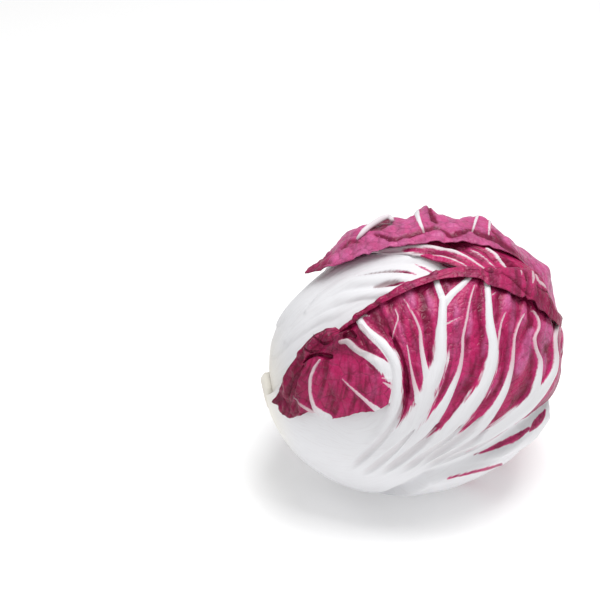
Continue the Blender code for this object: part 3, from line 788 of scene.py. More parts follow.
# Vein columns of the front leaf, from the torn side at the stem round to the lower edge: first the
# angles from the stem and round it, then the picture points.
FRONT_COLUMNS = (
    (((RING, -6), (20, 0)),
     ((292, 370), (304, 354), (318, 342), (332, 336), (342, 331))),
    (((RING, -13), (20, -10), (32, -8)),
     ((318, 398), (336, 386), (350, 364), (355, 342), (352, 325))),
    (((RING, -16), (20, -14), (35, -14), (48, -15)),
     ((352, 426), (378, 412), (385, 390), (379, 368), (370, 350), (362, 336), (356, 322))),
    (((RING, -19), (20, -18), (35, -19), (48, -23), (60, -31)),
     ((383, 435), (397, 417), (401, 398), (400, 378), (396, 363), (389, 353), (378, 341), (367, 328),
      (360, 318))),
    (((RING, -26), (20, -26), (35, -28), (48, -30), (60, -35)),
     ((386, 440), (401.5, 421), (407, 400), (407, 382), (404, 364), (395, 342), (384, 322),
      (376, 306))),
    (((RING, -32), (20, -34), (35, -36), (48, -37), (60, -39)),
     ((389, 446), (406, 426), (414, 402), (415, 384), (410, 361), (403, 336), (395, 314), (389, 298))),
    (((RING, -38), (20, -42), (35, -45), (48, -45), (60, -43.5)),
     ((391.5, 451), (410, 430), (422, 405), (427, 384), (424, 364), (421, 346), (419, 328), (413, 308),
      (405, 289))),
    (((RING, -44), (20, -50), (35, -54), (48, -54), (60, -49)),
     ((394, 456), (414, 434), (429, 402), (435, 380), (440, 358), (441, 340), (442, 318), (445, 297),
      (448, 274))),
    (((RING, -50), (20, -58), (35, -63), (50, -61)),
     ((398, 461), (416, 445), (430, 426), (443, 405), (452, 390), (459, 372), (462, 345), (465, 318),
      (472, 290), (475, 273))),
    (((RING, -56), (20, -65), (35, -70), (50, -67)),
     ((400, 468), (425, 450), (443, 437), (457, 421), (469, 405), (479, 389), (487, 374), (492, 355),
      (492, 338), (489, 315), (488, 294), (487, 275))),
    (((RING, -62), (20, -72), (35, -77), (50, -73)),
     ((400, 471.5), (425, 455), (450, 443), (468, 433), (483, 422), (495, 409), (503, 395), (509, 379),
      (512, 360), (514, 342), (517, 322), (519, 298), (518, 273))),
    (((RING, -70), (20, -80), (35, -84), (50, -79)),
     ((400, 475), (425, 460), (450, 449), (480, 434), (505, 418), (524, 402), (535, 386), (539, 368),
      (538, 352), (534, 336), (536, 320), (534, 304), (533, 276))),
    (((RING, -80), (20, -90), (35, -93), (50, -87)),
     ((400, 479), (425, 465), (450, 454), (476, 442), (500, 428), (520, 414), (536, 398), (546, 382),
      (553, 368), (556, 356), (555, 344), (556, 330), (549, 306))),
    (((RING, -92), (20, -99), (35, -102), (50, -96), (66, -75)),
     ((400, 484), (425, 471), (450, 461), (480, 447), (510, 429), (536, 410), (550, 399))),
)
# Angles by which the last of them goes on over the crown.
CROWN_COLUMN = ((152, -62), (158, -40), (160, -15), (159, 3))


@dataclass
class FrontLeaf(Sheet):
    """The big front leaf: its blade with a fan of ribs and the turned-over band along its top.

    band is how far the band lies back over the blade at each vein column, and fold the radius of
    the half turn there, in mm. The band lies band_height above the spheroid before it is lifted.
    """

    wide: int = 260
    long: int = 200
    inner_steps: tuple[int, int] = (3, 1)
    turn_rows: int = 9
    band_rows: int = 18
    vein_cell: float = 5.2
    band_cell: float = 4.5
    band_height: float = 9.0
    highest: float = 2.2
    band: tuple[float, ...] = (0.4, 0.6, 0.7, 0.8, 1.2, 1.8, 2.6, 3.4, 4.2, 6.0, 14.0, 17.0, 9.5, 1.2)
    fold: tuple[float, ...] = (0.7, 0.8, 0.8, 0.8, 0.8, 0.9, 1.0, 1.0, 1.0, 1.1, 1.0, 0.8, 0.6, 0.4)

    def columns(self) -> list[Array]:
        """Unit directions of each vein column."""
        lines = [np.vstack([HEAD.around(*near), HEAD.seen(*spots)]) for near, spots in FRONT_COLUMNS]
        lines[-1] = np.vstack([lines[-1], HEAD.around(*CROWN_COLUMN)])
        return lines

    def body(self, net: Net, direction: Array) -> tuple[Array, Skin]:
        """Height and skin of the blade.

        Args:
            net: the leaf's net.
            direction: unit directions of the blade's grid.

        Returns:
            The height in mm, as the outermost height plus the ribs, the grooves, puckers between
            the fine veins, folds along the leaf and a long swell; and what the finish reads.
        """
        plain = HEAD.place(direction, OUTERMOST)
        spots = HEAD.picture(plain)
        border, rib, width = draw(spots, FRONT_VEINS)
        _, groove, _ = draw(spots, FRONT_GROOVES)
        line, _, _ = draw(spots, FRONT_LINES)
        _, sheen, _ = draw(spots, FRONT_SHEEN)
        under, _, _ = draw(spots, FRONT_SHADOW)
        away, turn = HEAD.angles(direction)
        base = (away - 66.0) * 0.9 + 3.0 * ease((turn + 20.0) / 40.0)
        white = -np.minimum(border, base)
        blade = ease(-white / 1.2)
        inside, mark = quilt(plain, self.vein_cell, 11)
        pucker = 0.33 * ease(inside / 0.6) * (0.3 + mark) - 0.09
        lengthways = np.stack(np.broadcast_arrays(
            net.across[None, :] * 2.3, net.along[:, None] * 2.6, 0.0), axis=-1)
        fold = ripple(lengthways, 1.0, 13) + 0.5 * ripple(lengthways, 0.45, 14)
        swell = 0.4 * ripple(plain, 15.0, 5) + (0.25 * ripple(plain, 6.0, 6) + 0.5 * fold) * blade
        fade = ease((away - 18.0) / 40.0)
        height = (OUTERMOST + swell * ease((away - 30.0) / 45.0) + (rib + groove) * fade
                  + blade * (sheen + pucker - 0.35 * ease(1.0 - np.abs(line) / 0.8))
                  - 1.0 * ease((away - 146.0) / 12.0))
        # near is the blade just beside the ribs, which is painted darker as shade.
        near = 1.0 - ease(-white / 1.3)
        margin = ease((net.across - (len(net.columns) - 1.7)) / 0.5)[None, :]
        margin = margin * ease((net.along - 0.25) / 0.2)[:, None]
        # lilac: paler towards the crown and at the lavender lower margin, plus painted highlights on the
        # fold crests and satin bulges; shade: painted shade along the creases, beside the ribs, in the
        # fold valleys and the base's grooves, the painted shadow under the band, less of it on the
        # bulges, and a darker lower margin.
        skin = Skin(
            white=white, feather=0.15 + 2.0 * ease((width - 3.5) / 4.0) * ease((away - 50) / 20),
            lilac=np.clip(0.04 + 0.40 * ease((away - 112.0) / 34.0) * ease((fold + 0.3) / 0.6)
                          + 0.20 * ease((fold - 0.1) / 0.5) + 0.75 * margin
                          + ease(sheen / 0.7), 0.0, 1.0),
            shade=np.clip((0.5 * ease(1.0 - np.abs(line)) + 0.22 * near + 0.3 * margin
                           + 0.32 * ease((-fold - 0.05) / 0.5)) * blade
                          + 0.22 * ease(-groove)
                          + 0.8 * ease((0.7 - under) / 1.2) - 0.5 * ease(sheen / 0.5), 0.0, 1.0),
            cream=creamy(away), valley=inside * self.vein_cell * 0.5,
            thin=ease((3.4 - width) / 2.0))
        return np.clip(height, None, OUTERMOST + self.highest), skin

    def turned(self, net: Net, body: Array, normal: Array) -> tuple[Array, Skin]:
        """The fold along the leaf's top edge and the band that lies back over the blade.

        Args:
            net: the leaf's net.
            body: the blade's points in mm.
            normal: unit directions of its last row.

        Returns:
            The rows of the half turn, whose radius is the fold, then the rows of the band, which
            run back along the leaf with crumples and a wavy edge; and what the finish reads.
        """
        knots = np.arange(len(net.columns), dtype=float)
        fold = np.interp(net.across, knots, self.fold)
        band = np.interp(net.across, knots, self.band)
        spot = np.stack([net.across * 9.0, 0 * fold, 0 * fold], axis=-1)
        band = band * (1.0 + 0.10 * ripple(spot, 4.0, 31) + 0.05 * ripple(spot, 1.5, 32))
        ahead = body[-1] - body[-6]
        ahead = unit(ahead - (ahead * normal).sum(1, keepdims=True) * normal)
        angle = np.radians(np.linspace(0.0, 180.0, self.turn_rows + 1)[1:])[:, None, None]
        rows = body[-1] + fold[:, None] * (np.sin(angle) * ahead + (1.0 - np.cos(angle)) * normal)
        length = gaps(body, 0).sum(0)
        share = np.linspace(0.0, 1.0, self.band_rows + 1)[1:, None]
        under = net.read(shift=share * (band / length)[None, :], reach=np.ones(self.band_rows))
        over = HEAD.place(under, self.band_height)
        inside, mark = quilt(over, self.band_cell, 43)
        rough = (0.22 * ripple(over, 3.4, 41) + 0.9 * ripple(over, 7.5, 42)
                 + 0.35 * ease(inside / 0.5) * (mark - 0.3))
        lift = 2.0 * fold[None, :] + 0.2 * share
        seen = HEAD.picture(HEAD.place(under, OUTERMOST + lift))
        border, rib, _ = draw(seen, BAND_VEINS)
        _, crease, _ = draw(seen, BAND_CREASES)
        free = ease(band / 4.0)[None, :] * ease(share / 0.3)
        strip = HEAD.place(under, OUTERMOST + lift + (0.55 * rough + rib + crease) * free)
        outer = np.concatenate([rows, strip])
        spots = HEAD.picture(outer)
        plain = np.full((self.turn_rows, self.wide), 2.0)
        # The band is a little darker throughout; painted shade darkens its narrow left part, its lower
        # right end and its creases.
        narrow = ease((405.0 - spots[..., 0]) / 40.0)
        dark = 0.45 * ease((spots[..., 0] - 530.0) / 16.0) * ease((spots[..., 1] - 284.0) / 14.0)
        dark[self.turn_rows:] += 0.8 * ease(-crease / 0.6)
        skin = Skin(white=np.concatenate([-plain, -border]), feather=0.15,
                    lilac=0.16 - 0.15 * narrow, shade=0.22 + 0.28 * narrow + dark,
                    valley=np.concatenate([plain, inside * 2.2]), thin=1.0)
        return outer, skin

    def build(self) -> Item:
        """Blade, fold and band as one closed sheet.

        Returns:
            The piece.
        """
        net = Net(self.columns()).spread(self.wide, self.long)
        direction = net.read()
        height, skin = self.body(net, direction)
        body = HEAD.place(direction, height)
        strip, strip_skin = self.turned(net, body, direction[-1])
        outer = np.concatenate([body, strip])
        margin = ease((len(outer) - 1 - np.arange(len(outer))) / 10.0)[:, None]
        return self.close("front_leaf", "leaf_front", outer, skin.then(strip_skin),
                          0.45 + 0.55 * margin, self.turn_rows + self.band_rows)


@dataclass
class TornLobe(Sheet):
    """The torn lobe of the front leaf that lies over its white base.

    rise is how far it stands off the leaf where it is free, and foot how far where it is held.
    """

    wide: int = 240
    long: int = 170
    inner_steps: tuple[int, int] = (1, 1)
    rise: float = 2.1
    foot: float = 0.35
    read_at: float = 1.6
    vein_cell: float = 5.6

    def rows(self) -> list[Array]:
        """Lines across the lobe, from its torn lower edge up to the fold."""
        lines = (
            ((277, 400), (281, 407), (286, 413), (293, 416), (303, 413), (316, 411), (328, 419),
             (340, 416), (356, 412), (372, 411), (386, 405), (399, 398)),
            ((282, 387), (292, 392), (304, 394), (318, 396), (334, 396), (350, 394), (364, 392),
             (378, 390), (390, 386), (401, 381)),
            ((292, 366), (301, 370), (312, 374), (326, 376), (342, 375), (358, 372), (374, 370),
             (388, 367), (398, 363)),
            ((304, 347), (312, 353), (322, 358), (334, 357), (348, 353), (362, 350), (376, 348),
             (387, 349)),
            ((320, 332), (326, 338), (334, 341), (344, 339), (354, 336), (366, 332), (373, 334)),
            ((333, 326), (336, 328), (340, 330), (346, 327), (352, 323), (358, 320), (361, 321)),
        )
        return [HEAD.seen(*line, height=OUTERMOST + self.read_at) for line in lines]

    def build(self) -> Item:
        """The lobe as a closed sheet, sunk into the front leaf along its right and top edges.

        Returns:
            The piece.
        """
        across = np.linspace(0.0, 1.0, self.wide)
        along = np.linspace(0.0, 1.0, self.long)
        lines = np.stack([smooth_line(row, across) for row in self.rows()])
        grid = unit(smooth_across(lines, along * (len(lines) - 1)))
        flat = HEAD.place(grid, OUTERMOST)
        spot = np.stack([across * 60.0, 0 * across, 0 * across], axis=-1)
        pull = 0.45 * ripple(spot, 2.4, 51) + 0.18 * ripple(spot, 0.9, 52)
        pull = pull[None, :] * ease(1.0 - along / 0.08)[:, None]
        lengthways = unit(np.gradient(flat, axis=0))
        grid = unit(grid + lengthways * (pull / HEAD.round_radius)[..., None])
        held = np.maximum(ease((across - 0.84) / 0.16)[None, :], ease((along - 0.86) / 0.14)[:, None])
        level = OUTERMOST + self.foot + self.rise * (1.0 - 1.05 * held)
        flat = HEAD.place(grid, level)
        spots = HEAD.picture(flat)
        border, rib, width = draw(spots, LOBE_VEINS)
        _, crease, _ = draw(spots, LOBE_CREASES)
        _, sheen, _ = draw(spots, LOBE_SHEEN)
        inside, mark = quilt(flat, self.vein_cell, 61)
        left = ease((312.0 - spots[..., 0]) / 14.0) + ease((362.0 - spots[..., 1]) / 14.0)
        left = np.clip(left, 0.0, 1.0) * (1.0 - held)
        wrinkle = (0.45 * ease(inside / 0.6) * (0.3 + mark) + 0.6 * ripple(flat, 11.0, 62)
                   + left * (1.5 * ripple(flat * np.array([1.0, 1.0, 0.55]), 3.8, 65)
                             + 0.8 * ripple(flat, 2.0, 66)))
        lip = 0.5 * ease(1.0 - along / 0.10)[:, None]
        height = (level + (rib + crease + sheen + lip) * (1.0 - held)
                  + 0.9 * wrinkle * (1.0 - 0.9 * held) - self.foot * held)
        outer = HEAD.place(grid, height)
        # Painted shade in the creases; darker towards the crumpled left and lighter in the pinker patch
        # at the right; the satin bulges are painted paler as highlights.
        pink = ease(1.25 - np.hypot((spots[..., 0] - 384) / 20.0, (spots[..., 1] - 385) / 24.0))
        shade = 0.5 * ease(-crease) + 0.62 * left * (1 - pink) + 0.14 - 0.25 * pink
        skin = Skin(white=-border, feather=0.15 + 1.7 * pink * ease((width - 1.0) / 3.0),
                    lilac=0.04 + 0.15 * pink + 0.4 * ease(sheen / 0.9),
                    shade=np.clip(shade, 0, 1), valley=inside * self.vein_cell * 0.5,
                    thin=ease((3.4 - width) / 2.4))
        edge = np.minimum(ease(along / 0.06)[:, None], ease(across / 0.05)[None, :])
        return self.close("front_lobe", "leaf_front", outer, skin, 0.5 + 0.5 * edge)


@dataclass(frozen=True)
class Ribs:
    """Ribs that follow a leaf's columns.

    wide and narrow are their half widths in mm at the base and at the tip, white is the share of
    the leaf's length that is white from the stem on, and height is their relief in mm. Between
    two ribs a branch of the size branch starts at the share fork.
    """

    wide: float
    narrow: float
    white: float
    height: float
    branch: float = 0.6
    fork: float = 0.45


def column_ribs(points: Array, net: Net, ribs: Ribs) -> tuple[Array, Array, Array]:
    """Distance to and relief of the ribs that follow a net's columns.

    Args:
        points: the plain grid in mm.
        net: the leaf's net.
        ribs: sizes.

    Returns:
        The distance in mm to the border of the white parts, negative inside; the relief in mm;
        and the share along the leaf.
    """
    run = np.pad(np.cumsum(gaps(points, 1), axis=1), ((0, 0), (1, 0)))
    along = net.along[:, None] * np.ones_like(run)
    border = np.full(run.shape, FAR)
    relief = np.zeros(run.shape)
    count = len(net.columns) - 1
    marks = [(float(k), 0.0, 1.0) for k in range(1, count)]
    marks += [(k + 0.5, ribs.fork, ribs.branch) for k in range(count)]
    for where, start, size in marks:
        wander = 0.10 * np.sin(net.along * 9.0 + where * 2.7) * ease(net.along / 0.4)
        lean = where + wander - 0.5 * (size < 1.0) * (1.0 - ease((net.along - start) / 0.35))
        low = np.clip(np.searchsorted(net.across, lean) - 1, 0, len(net.across) - 2)
        part = (lean - net.across[low]) / (net.across[low + 1] - net.across[low])
        pick = np.arange(len(net.along))
        centre = run[pick, low] * (1.0 - part) + run[pick, low + 1] * part
        half = (ribs.wide + (ribs.narrow - ribs.wide) * net.along ** 0.7) * size
        half = half * ease((net.along - start + 0.08) / 0.1) * (1.0 - 0.6 * ease(
            (net.along - 0.85) / 0.15))
        near = np.abs(run - centre[:, None])
        border = np.minimum(border, near - half[:, None])
        inside = np.clip(1.0 - (near / (half[:, None] * 1.3 + 0.15)) ** 2, 0.0, None)
        relief = np.maximum(relief, ribs.height * (0.4 + 0.6 * size) * inside ** 0.8
                            * (half[:, None] > 0.1))
    length = gaps(points, 0).sum(0).mean()
    ragged = 0.05 * ripple(points, 9.0, 71)
    border = np.minimum(border, (along - ribs.white + ragged) * length)
    return border, relief * ease((along - 0.1) / 0.3), along


# Rib ends, the long crease and the pale lines of the back leaf where it comes over the top.
BACK_VEINS = (
    Stroke(((413, 207, 2.4), (416, 213, 2.4), (419, 221, 1.9), (424, 229, 1.1)), 1.2),
    Stroke(((477, 216, 1.8), (475, 222, 1.4), (473, 230, 0.8)), 0.8),
    Stroke(((487, 222, 1.2), (488, 228, 1.1), (489, 234, 0.7)), 0.6),
)
# The creases, and the hollow under the lifted rib at their start, are also painted darker as shade.
BACK_CREASES = (
    Stroke(((370, 230, 1.2), (377, 226.5, 3), (385, 222, 4), (391, 219.5, 3.6)), -1.0, fade=0.05),
    Stroke(((374, 233, 0.8), (382, 234, 1.4), (390, 237, 1.6), (405, 234, 1.6), (420, 230, 1.6),
        (430, 227, 1.6), (440, 228, 1.6), (450, 233, 1.6), (462, 231, 1.8), (470, 229, 1.8),
        (480, 233, 2.2), (496, 240, 2.4), (512, 250, 2.4), (530, 262, 2), (542, 274, 1)), -0.9),
    Stroke(((428, 214, 1), (434, 220, 2.2), (440, 224, 1)), -0.8),
    Stroke(((492, 232, 1), (500, 240, 1.8), (504, 250, 1)), -0.6),
    Stroke(((340, 246, 1), (352, 240, 1.6), (364, 243, 1)), -0.5),
)


@dataclass
class BackLeaf(Sheet):
    """The outer back leaf, whose puckered, finely toothed edge comes over the top.

    columns holds the vein columns as angles from the stem and round it. Each bump has its two
    angles, its two half widths in degrees and its rise in mm.
    """

    wide: int = 340
    long: int = 180
    height: float = 8.0
    vein_cell: float = 6.4
    rib_start: Pair = (104.0, 8.0)
    ribs: Ribs = Ribs(wide=3.0, narrow=0.7, white=0.30, height=1.1)
    columns: tuple[Marks, ...] = (
        ((RING, 138), (20, 140), (32, 141), (43, 139), (55, 130), (63, 112), (66, 95), (61, 80),
         (53.5, 70)),
        ((RING, 142), (20, 144), (36, 145), (52, 141), (63, 129), (70, 110), (73, 94), (72, 77),
         (64, 60)),
        ((RING, 146), (20, 148), (40, 149), (60, 142), (71, 129), (78, 109), (81, 92), (81, 75),
         (77, 55)),
        ((RING, 150), (22, 153), (44, 154), (66, 145), (79, 129), (87, 109), (91, 90), (92, 72),
         (91, 53)),
        ((RING, 155), (24, 158), (48, 159), (74, 149), (96, 121), (107, 84), (107, 52)),
        ((RING, 160), (26, 163), (52, 164), (82, 153), (106, 124), (118, 86), (119, 51)),
        ((RING, 164), (28, 168), (56, 169), (90, 158), (116, 127), (129, 91), (131, 50)),
        ((RING, 168), (30, 172), (60, 173), (98, 163), (128, 135), (141, 95), (143, 50)),
        ((RING, 173), (30, 177), (62, 179), (102, 171), (136, 150), (150, 105), (153, 66),
         (149, 36)),
        ((RING, 178), (30, 182), (62, 184), (104, 180), (138, 168), (160, 130), (166, 60),
         (149, 10)),
        ((RING, 183), (30, 187), (62, 190), (104, 188), (138, 182), (162, 178), (174, -80),
         (152, -45)),
        ((RING, 188), (30, 192), (60, 195), (100, 194), (134, 192), (156, 196), (169, 240),
         (156, -92)),
        ((RING, 193), (28, 198), (56, 202), (92, 202), (122, 202), (144, 206), (155, 226)),
        ((RING, 199), (26, 205), (52, 209), (82, 211), (108, 211), (126, 212), (134, 216)),
        ((RING, 206), (24, 211), (46, 215), (70, 217), (90, 218), (106, 217), (116, 216)),
    )
    bumps: Marks = (
        (89, 86, 5, 9, 0.4), (57, 118, 9, 16, -3.5), (104.8, 86, 3.1, 11, 3.8),
        (125.5, 84, 6, 11, 2.6), (98, 88, 3.2, 9, -1.6), (116, 87, 4, 9, -2.0),
        (75, 84, 6, 9, 0.8), (157, 76, 10, 30, 3.8), (138, 84, 4, 7, -0.8),
        (63, 90, 7, 22, -3.2), (147, 84, 3.6, 7, 0.8), (158, 78, 3, 9, 0.9))

    def build(self) -> Item:
        """The leaf as a closed sheet.

        Returns:
            The piece. Its free edge is pulled back by small random teeth and droops at its left.
        """
        net = Net([HEAD.around(*column) for column in self.columns]).spread(self.wide, self.long)
        plain = HEAD.place(net.read(), self.height)
        length = gaps(plain, 0).sum(0)
        rim = plain[-1]
        tooth = (0.7 * np.abs(ripple(rim, 2.6, 81)) + 0.35 * np.abs(ripple(rim, 1.2, 82))
                 + 0.7 * np.abs(ripple(rim, 9.0, 83)))
        pull = (tooth / length)[None, :] * ease((net.along - 0.90) / 0.10)[:, None]
        direction = net.read(shift=pull)
        plain = HEAD.place(direction, self.height)
        away, turn = HEAD.angles(direction)
        spots = HEAD.picture(plain)
        front = ease((direction @ HEAD.toward + 0.12) / 0.12)
        border, rib, along = column_ribs(plain, net, self.ribs)
        start = self.rib_start[0] + self.rib_start[1] * np.sin(2.6 * net.across)[None, :]
        hidden = ease((turn % 360.0 - start) / 20.0)
        border = np.where(hidden > 0.02, border / np.maximum(hidden, 0.15) + 1.5 * (1 - hidden), 9.0)
        drawn, nub, _ = draw(spots, BACK_VEINS)
        drawn = drawn + 9.0 * (1.0 - front)
        border = np.minimum(border, drawn)
        line, crease, _ = draw(spots, BACK_CREASES)
        blade = ease(border)
        inside, mark = quilt(plain, self.vein_cell, 91)
        small, _ = quilt(plain, 2.8, 93)
        edge = ease((along - 0.45) / 0.35)
        pucker = 1.1 * ease(inside / 0.6) * (0.25 + mark) + 0.14 * ease(small / 0.5) - 0.35
        wave = 0.5 * ripple(plain, 9.0, 94) + 0.3 * ripple(plain, 4.0, 95)
        sink = 2.6 * ease((away - 136.0) / 13.0) + NEAR_STEM_SINK * (1.0 - ease(away / 50.0))
        calm = 1.0 - ease((away - 128.0) / 12.0)
        place = net.across[None, :]
        droop = 1.3 * ease((along - 0.86) / 0.14) * ease(place) * ease((6.0 - place) / 3.0)
        height = (self.height - sink - droop + rib * hidden + (nub + crease) * front
                  + blade * pucker * (0.35 + 0.65 * edge) * (0.3 + 0.7 * calm)
                  + wave * edge * calm)
        for from_stem, round_stem, long_way, cross_way, rise in self.bumps:
            height = height + rise * np.exp(-((away - from_stem) / long_way) ** 2
                                            - ((turn - round_stem) / cross_way) ** 2)
        outer = HEAD.place(direction, height)
        lilac = 0.75 * ease((165.0 - turn % 360.0) / 60.0) + 0.25 * ease((mark - 0.4) / 0.5)
        # The under-lit tip at the left is painted darker as shade and less lilac; the creases and the
        # long line get painted shade as well.
        tip = ease((336.0 - spots[..., 0]) / 18.0) * front
        lilac = lilac * (1.0 - 0.8 * tip)
        shade = 0.45 * tip + (ease(-crease / 0.8) + 0.25 * ease(1.0 - np.abs(line))) * front
        skin = Skin(white=-border, feather=0.08 + 1.9 * ease((0.6 - along) / 0.3),
                    lilac=np.clip(0.15 + lilac, 0, 1), shade=np.clip(shade, 0, 1),
                    cream=creamy(away), valley=inside * 2.0,
                    thin=0.6 * ease((along - 0.55) / 0.35) * (1.0 - ease(nub / 0.8)))
        margin = ease((1.0 - net.along) / 0.06)[:, None]
        return self.close("back_leaf", "leaf_back", outer, skin, 0.5 + 0.5 * margin)


# Slits of the inner leaf's folds, painted dark as shade.
INNER_CREASES = (
    Stroke(((358, 276.5, 0.4), (370, 273.5, 0.6), (384, 271.4, 0.9), (392, 270.8, 1.2), (400, 271, 0.8),
        (408, 271.8, 1.1), (414, 273.4, 0.5)), -1.3),
    Stroke(((374, 286.5, 0.8), (384, 284.5, 2), (392, 283.4, 2.2), (402, 282.6, 2)), -0.8),
)
# Broad soft folds that fan out from the stem.
INNER_FOLDS = (
    Stroke(((284, 326, 3), (302, 302, 6), (328, 277, 7), (356, 264, 6.5), (391, 257, 6), (428, 259, 5.5),
        (452, 268, 4)), 1.3, 8.0, 0.1),
    Stroke(((310, 314, 3), (326, 296, 5.5), (346, 283, 6), (368, 280, 5), (390, 278, 5),
        (412, 278, 4)), 1.3, 8.0, 0.1),
    Stroke(((292, 342, 3), (310, 318, 5.5), (334, 301, 6), (358, 295, 4.5), (380, 293, 4),
        (398, 289, 3)), 1.1, 8.0, 0.1),
    Stroke(((282, 356, 2), (294, 338, 5), (314, 322, 5), (336, 312, 4), (352, 304, 3)), 0.7, 8.0),
    Stroke(((274, 350, 3), (283, 330, 5), (295, 312, 5), (308, 299, 3)), 0.5, 8.0),
)
# Pink lines along the slits.
INNER_PINK = (
    Stroke(((388, 271.4, 0.3), (398, 270.8, 1), (408, 271.8, 1.1), (416, 274, 0.5)), 0.0),
    Stroke(((384, 285.6, 0.3), (394, 283.8, 0.9), (404, 282.6, 0.6)), 0.0),
    Stroke(((415, 264, 0.2), (423, 267.5, 0.8), (431, 271.5, 1.1), (438, 274.5, 0.8)), 0.0),
    Stroke(((436, 262, 0.3), (446, 266, 0.8), (458, 268, 1.2)), 0.0),
)


@dataclass
class InnerLeaf(Sheet):
    """The white inner leaf at the upper left, with long soft folds and two slits.

    Each row holds an angle from the stem and the angles round it of the leaf's two edges. bulge
    pairs angles from the stem with how far the leaf swells there in mm.
    """

    long: int = 220
    rows: Marks = ((RING, -18, 126), (20, -10, 134), (40, 5, 134), (60, 8, 124), (80, 10, 114),
                   (104, 12, 104), (138, 12, 90))
    bulge: Marks = ((0, 20, 35, 50, 60, 180), (3.7, 3.7, 2.3, 0.6, 0.0, 0.0))
    ribs: Ribs = Ribs(wide=2.6, narrow=1.2, white=1.0, height=0.45)

    def build(self) -> Item:
        """The leaf as a closed sheet.

        Returns:
            The piece.
        """
        net, direction, away, turn = self.grid(9, self.rows, 0.07)
        plain = HEAD.place(direction, 1.0)
        spots = HEAD.picture(plain)
        line, crease, _ = draw(spots, INNER_CREASES)
        _, folds, _ = draw(spots, INNER_FOLDS)
        pink, _, _ = draw(spots, INNER_PINK)
        front = ease((direction @ HEAD.toward + 0.1) / 0.2)
        swell = np.interp(away, *self.bulge)
        swell = 0.7 + swell * (1.0 - ease((turn - 106.0) / 16.0))
        _, rib, along = column_ribs(plain, net, self.ribs)
        streak = 0.10 * ripple(np.stack([turn * 0.7, away * 0.06, 0 * away], axis=-1), 1.0, 101)
        height = (swell + 0.25 * rib + (crease + folds) * front + streak
                  + 0.25 * ripple(plain, 12.0, 102))
        outer = HEAD.place(direction, height)
        white = np.minimum(pink, (0.93 - along) * 60.0)
        # Painted shade in the slits.
        skin = Skin(white=np.clip(white, -3, 3), feather=0.45, lilac=0.5,
                    shade=ease((0.35 - line) / 0.5) * front * ease(-crease / 0.3),
                    cream=ease((36.0 - away) / 30.0))
        return self.close("inner_leaf", "leaf_inner", outer, skin)


# White stripes and the creases between them on the narrow leaf.
EDGE_VEINS = (
    Stroke(((366, 255, 1.2), (380, 251, 1.3), (400, 248.5, 1.5), (424, 247, 1.5), (444, 250, 1.3),
        (460, 254, 1.1), (474, 261, 0.9), (486, 270, 0.6)), 0.9),
    Stroke(((486, 249, 0.8), (494, 255, 1.3), (502, 263, 1.3), (509, 272, 0.9)), 0.9),
    Stroke(((432, 255, 0.3), (448, 258, 0.5), (464, 265, 0.5), (474, 272, 0.4)), 0.4),
    Stroke(((470, 250, 0.3), (482, 256, 0.5), (492, 265, 0.5), (498, 272, 0.3)), 0.4),
)
# The creases are also painted darker as shade.
EDGE_CREASES = (
    Stroke(((499, 257, 0.8), (505, 262, 2.4), (512, 267, 3), (518, 271, 2)), -1.4, fade=0.1),
    Stroke(((410, 253, 0.6), (430, 253, 1.2), (448, 255, 1.2), (464, 261, 1), (476, 269, 0.6)), -0.7),
    Stroke(((440, 246, 0.6), (458, 249, 1.2), (474, 254, 1.2), (486, 262, 1), (496, 271, 0.6)), -0.8),
    Stroke(((466, 245, 0.6), (482, 250, 1.2), (494, 261, 1), (502, 271, 0.6)), -0.8),
)


@dataclass
class EdgeLeaf(Sheet):
    """The narrow leaf between the inner and back leaves, white at the left, dark at the right.

    Each row holds an angle from the stem and the angles round it of the leaf's two edges.
    """

    wide: int = 130
    long: int = 210
    height: float = 3.2
    rows: Marks = ((RING, 128, 160), (20, 132, 162), (40, 130, 160), (52, 124, 156),
                   (62, 112, 150), (70, 92, 145), (79, 68, 138), (90, 57, 130), (99, 52, 124),
                   (107, 46, 118), (116, 38, 113), (128, 32, 106), (142, 28, 97), (152, 25, 90))

    def build(self) -> Item:
        """The leaf as a closed sheet.

        Returns:
            The piece.
        """
        net, direction, away, turn = self.grid(6, self.rows, 0.06)
        lift = 1.2 * ease((away - 88.0) / 12.0) * (1.0 - ease((away - 104.0) / 8.0))
        bare = ease((54.0 - turn) / 8.0) * ease((turn - 27.0) / 9.0)
        lift = np.maximum(lift, 2.9 * bare * ease((away - 98.0) / 12.0)
                          * (1.0 - ease((away - 145.0) / 9.0)))
        lift = np.maximum(lift, 3.2 * ease((away - 112.0) / 10.0) * ease((turn - 34.0) / 10.0)
                          * (1.0 - ease((turn - 66.0) / 10.0)))
        margin = ease(net.across / 0.5)[None, :]
        level = self.height + lift - 0.5 * (1.0 - margin)
        plain = HEAD.place(direction, level)
        spots = HEAD.picture(plain)
        drawn, rib, _ = draw(spots, EDGE_VEINS)
        _, crease, _ = draw(spots, EDGE_CREASES)
        streak = ripple(np.stack([turn * 0.45, away * 0.03, 0 * away], axis=-1), 1.0, 111)
        tint = (spots[..., 0] - 416.0 + 10.0 * margin) / 22.0 + 0.9 * streak
        white = np.maximum(-drawn, -tint * 1.4)
        outer = HEAD.place(direction, level + rib + crease + 0.3 * streak * margin
                           + 0.2 * ripple(plain, 8.0, 112))
        inside, _ = quilt(plain, 4.0, 113)
        # Painted shade in the creases.
        skin = Skin(white=np.clip(white, -3, 3), feather=0.25, lilac=0.08,
                    shade=0.6 * ease(-crease / 0.7), cream=creamy(away), valley=inside * 2.0,
                    thin=0.4)
        return self.close("edge_leaf", "leaf_edge", outer, skin)


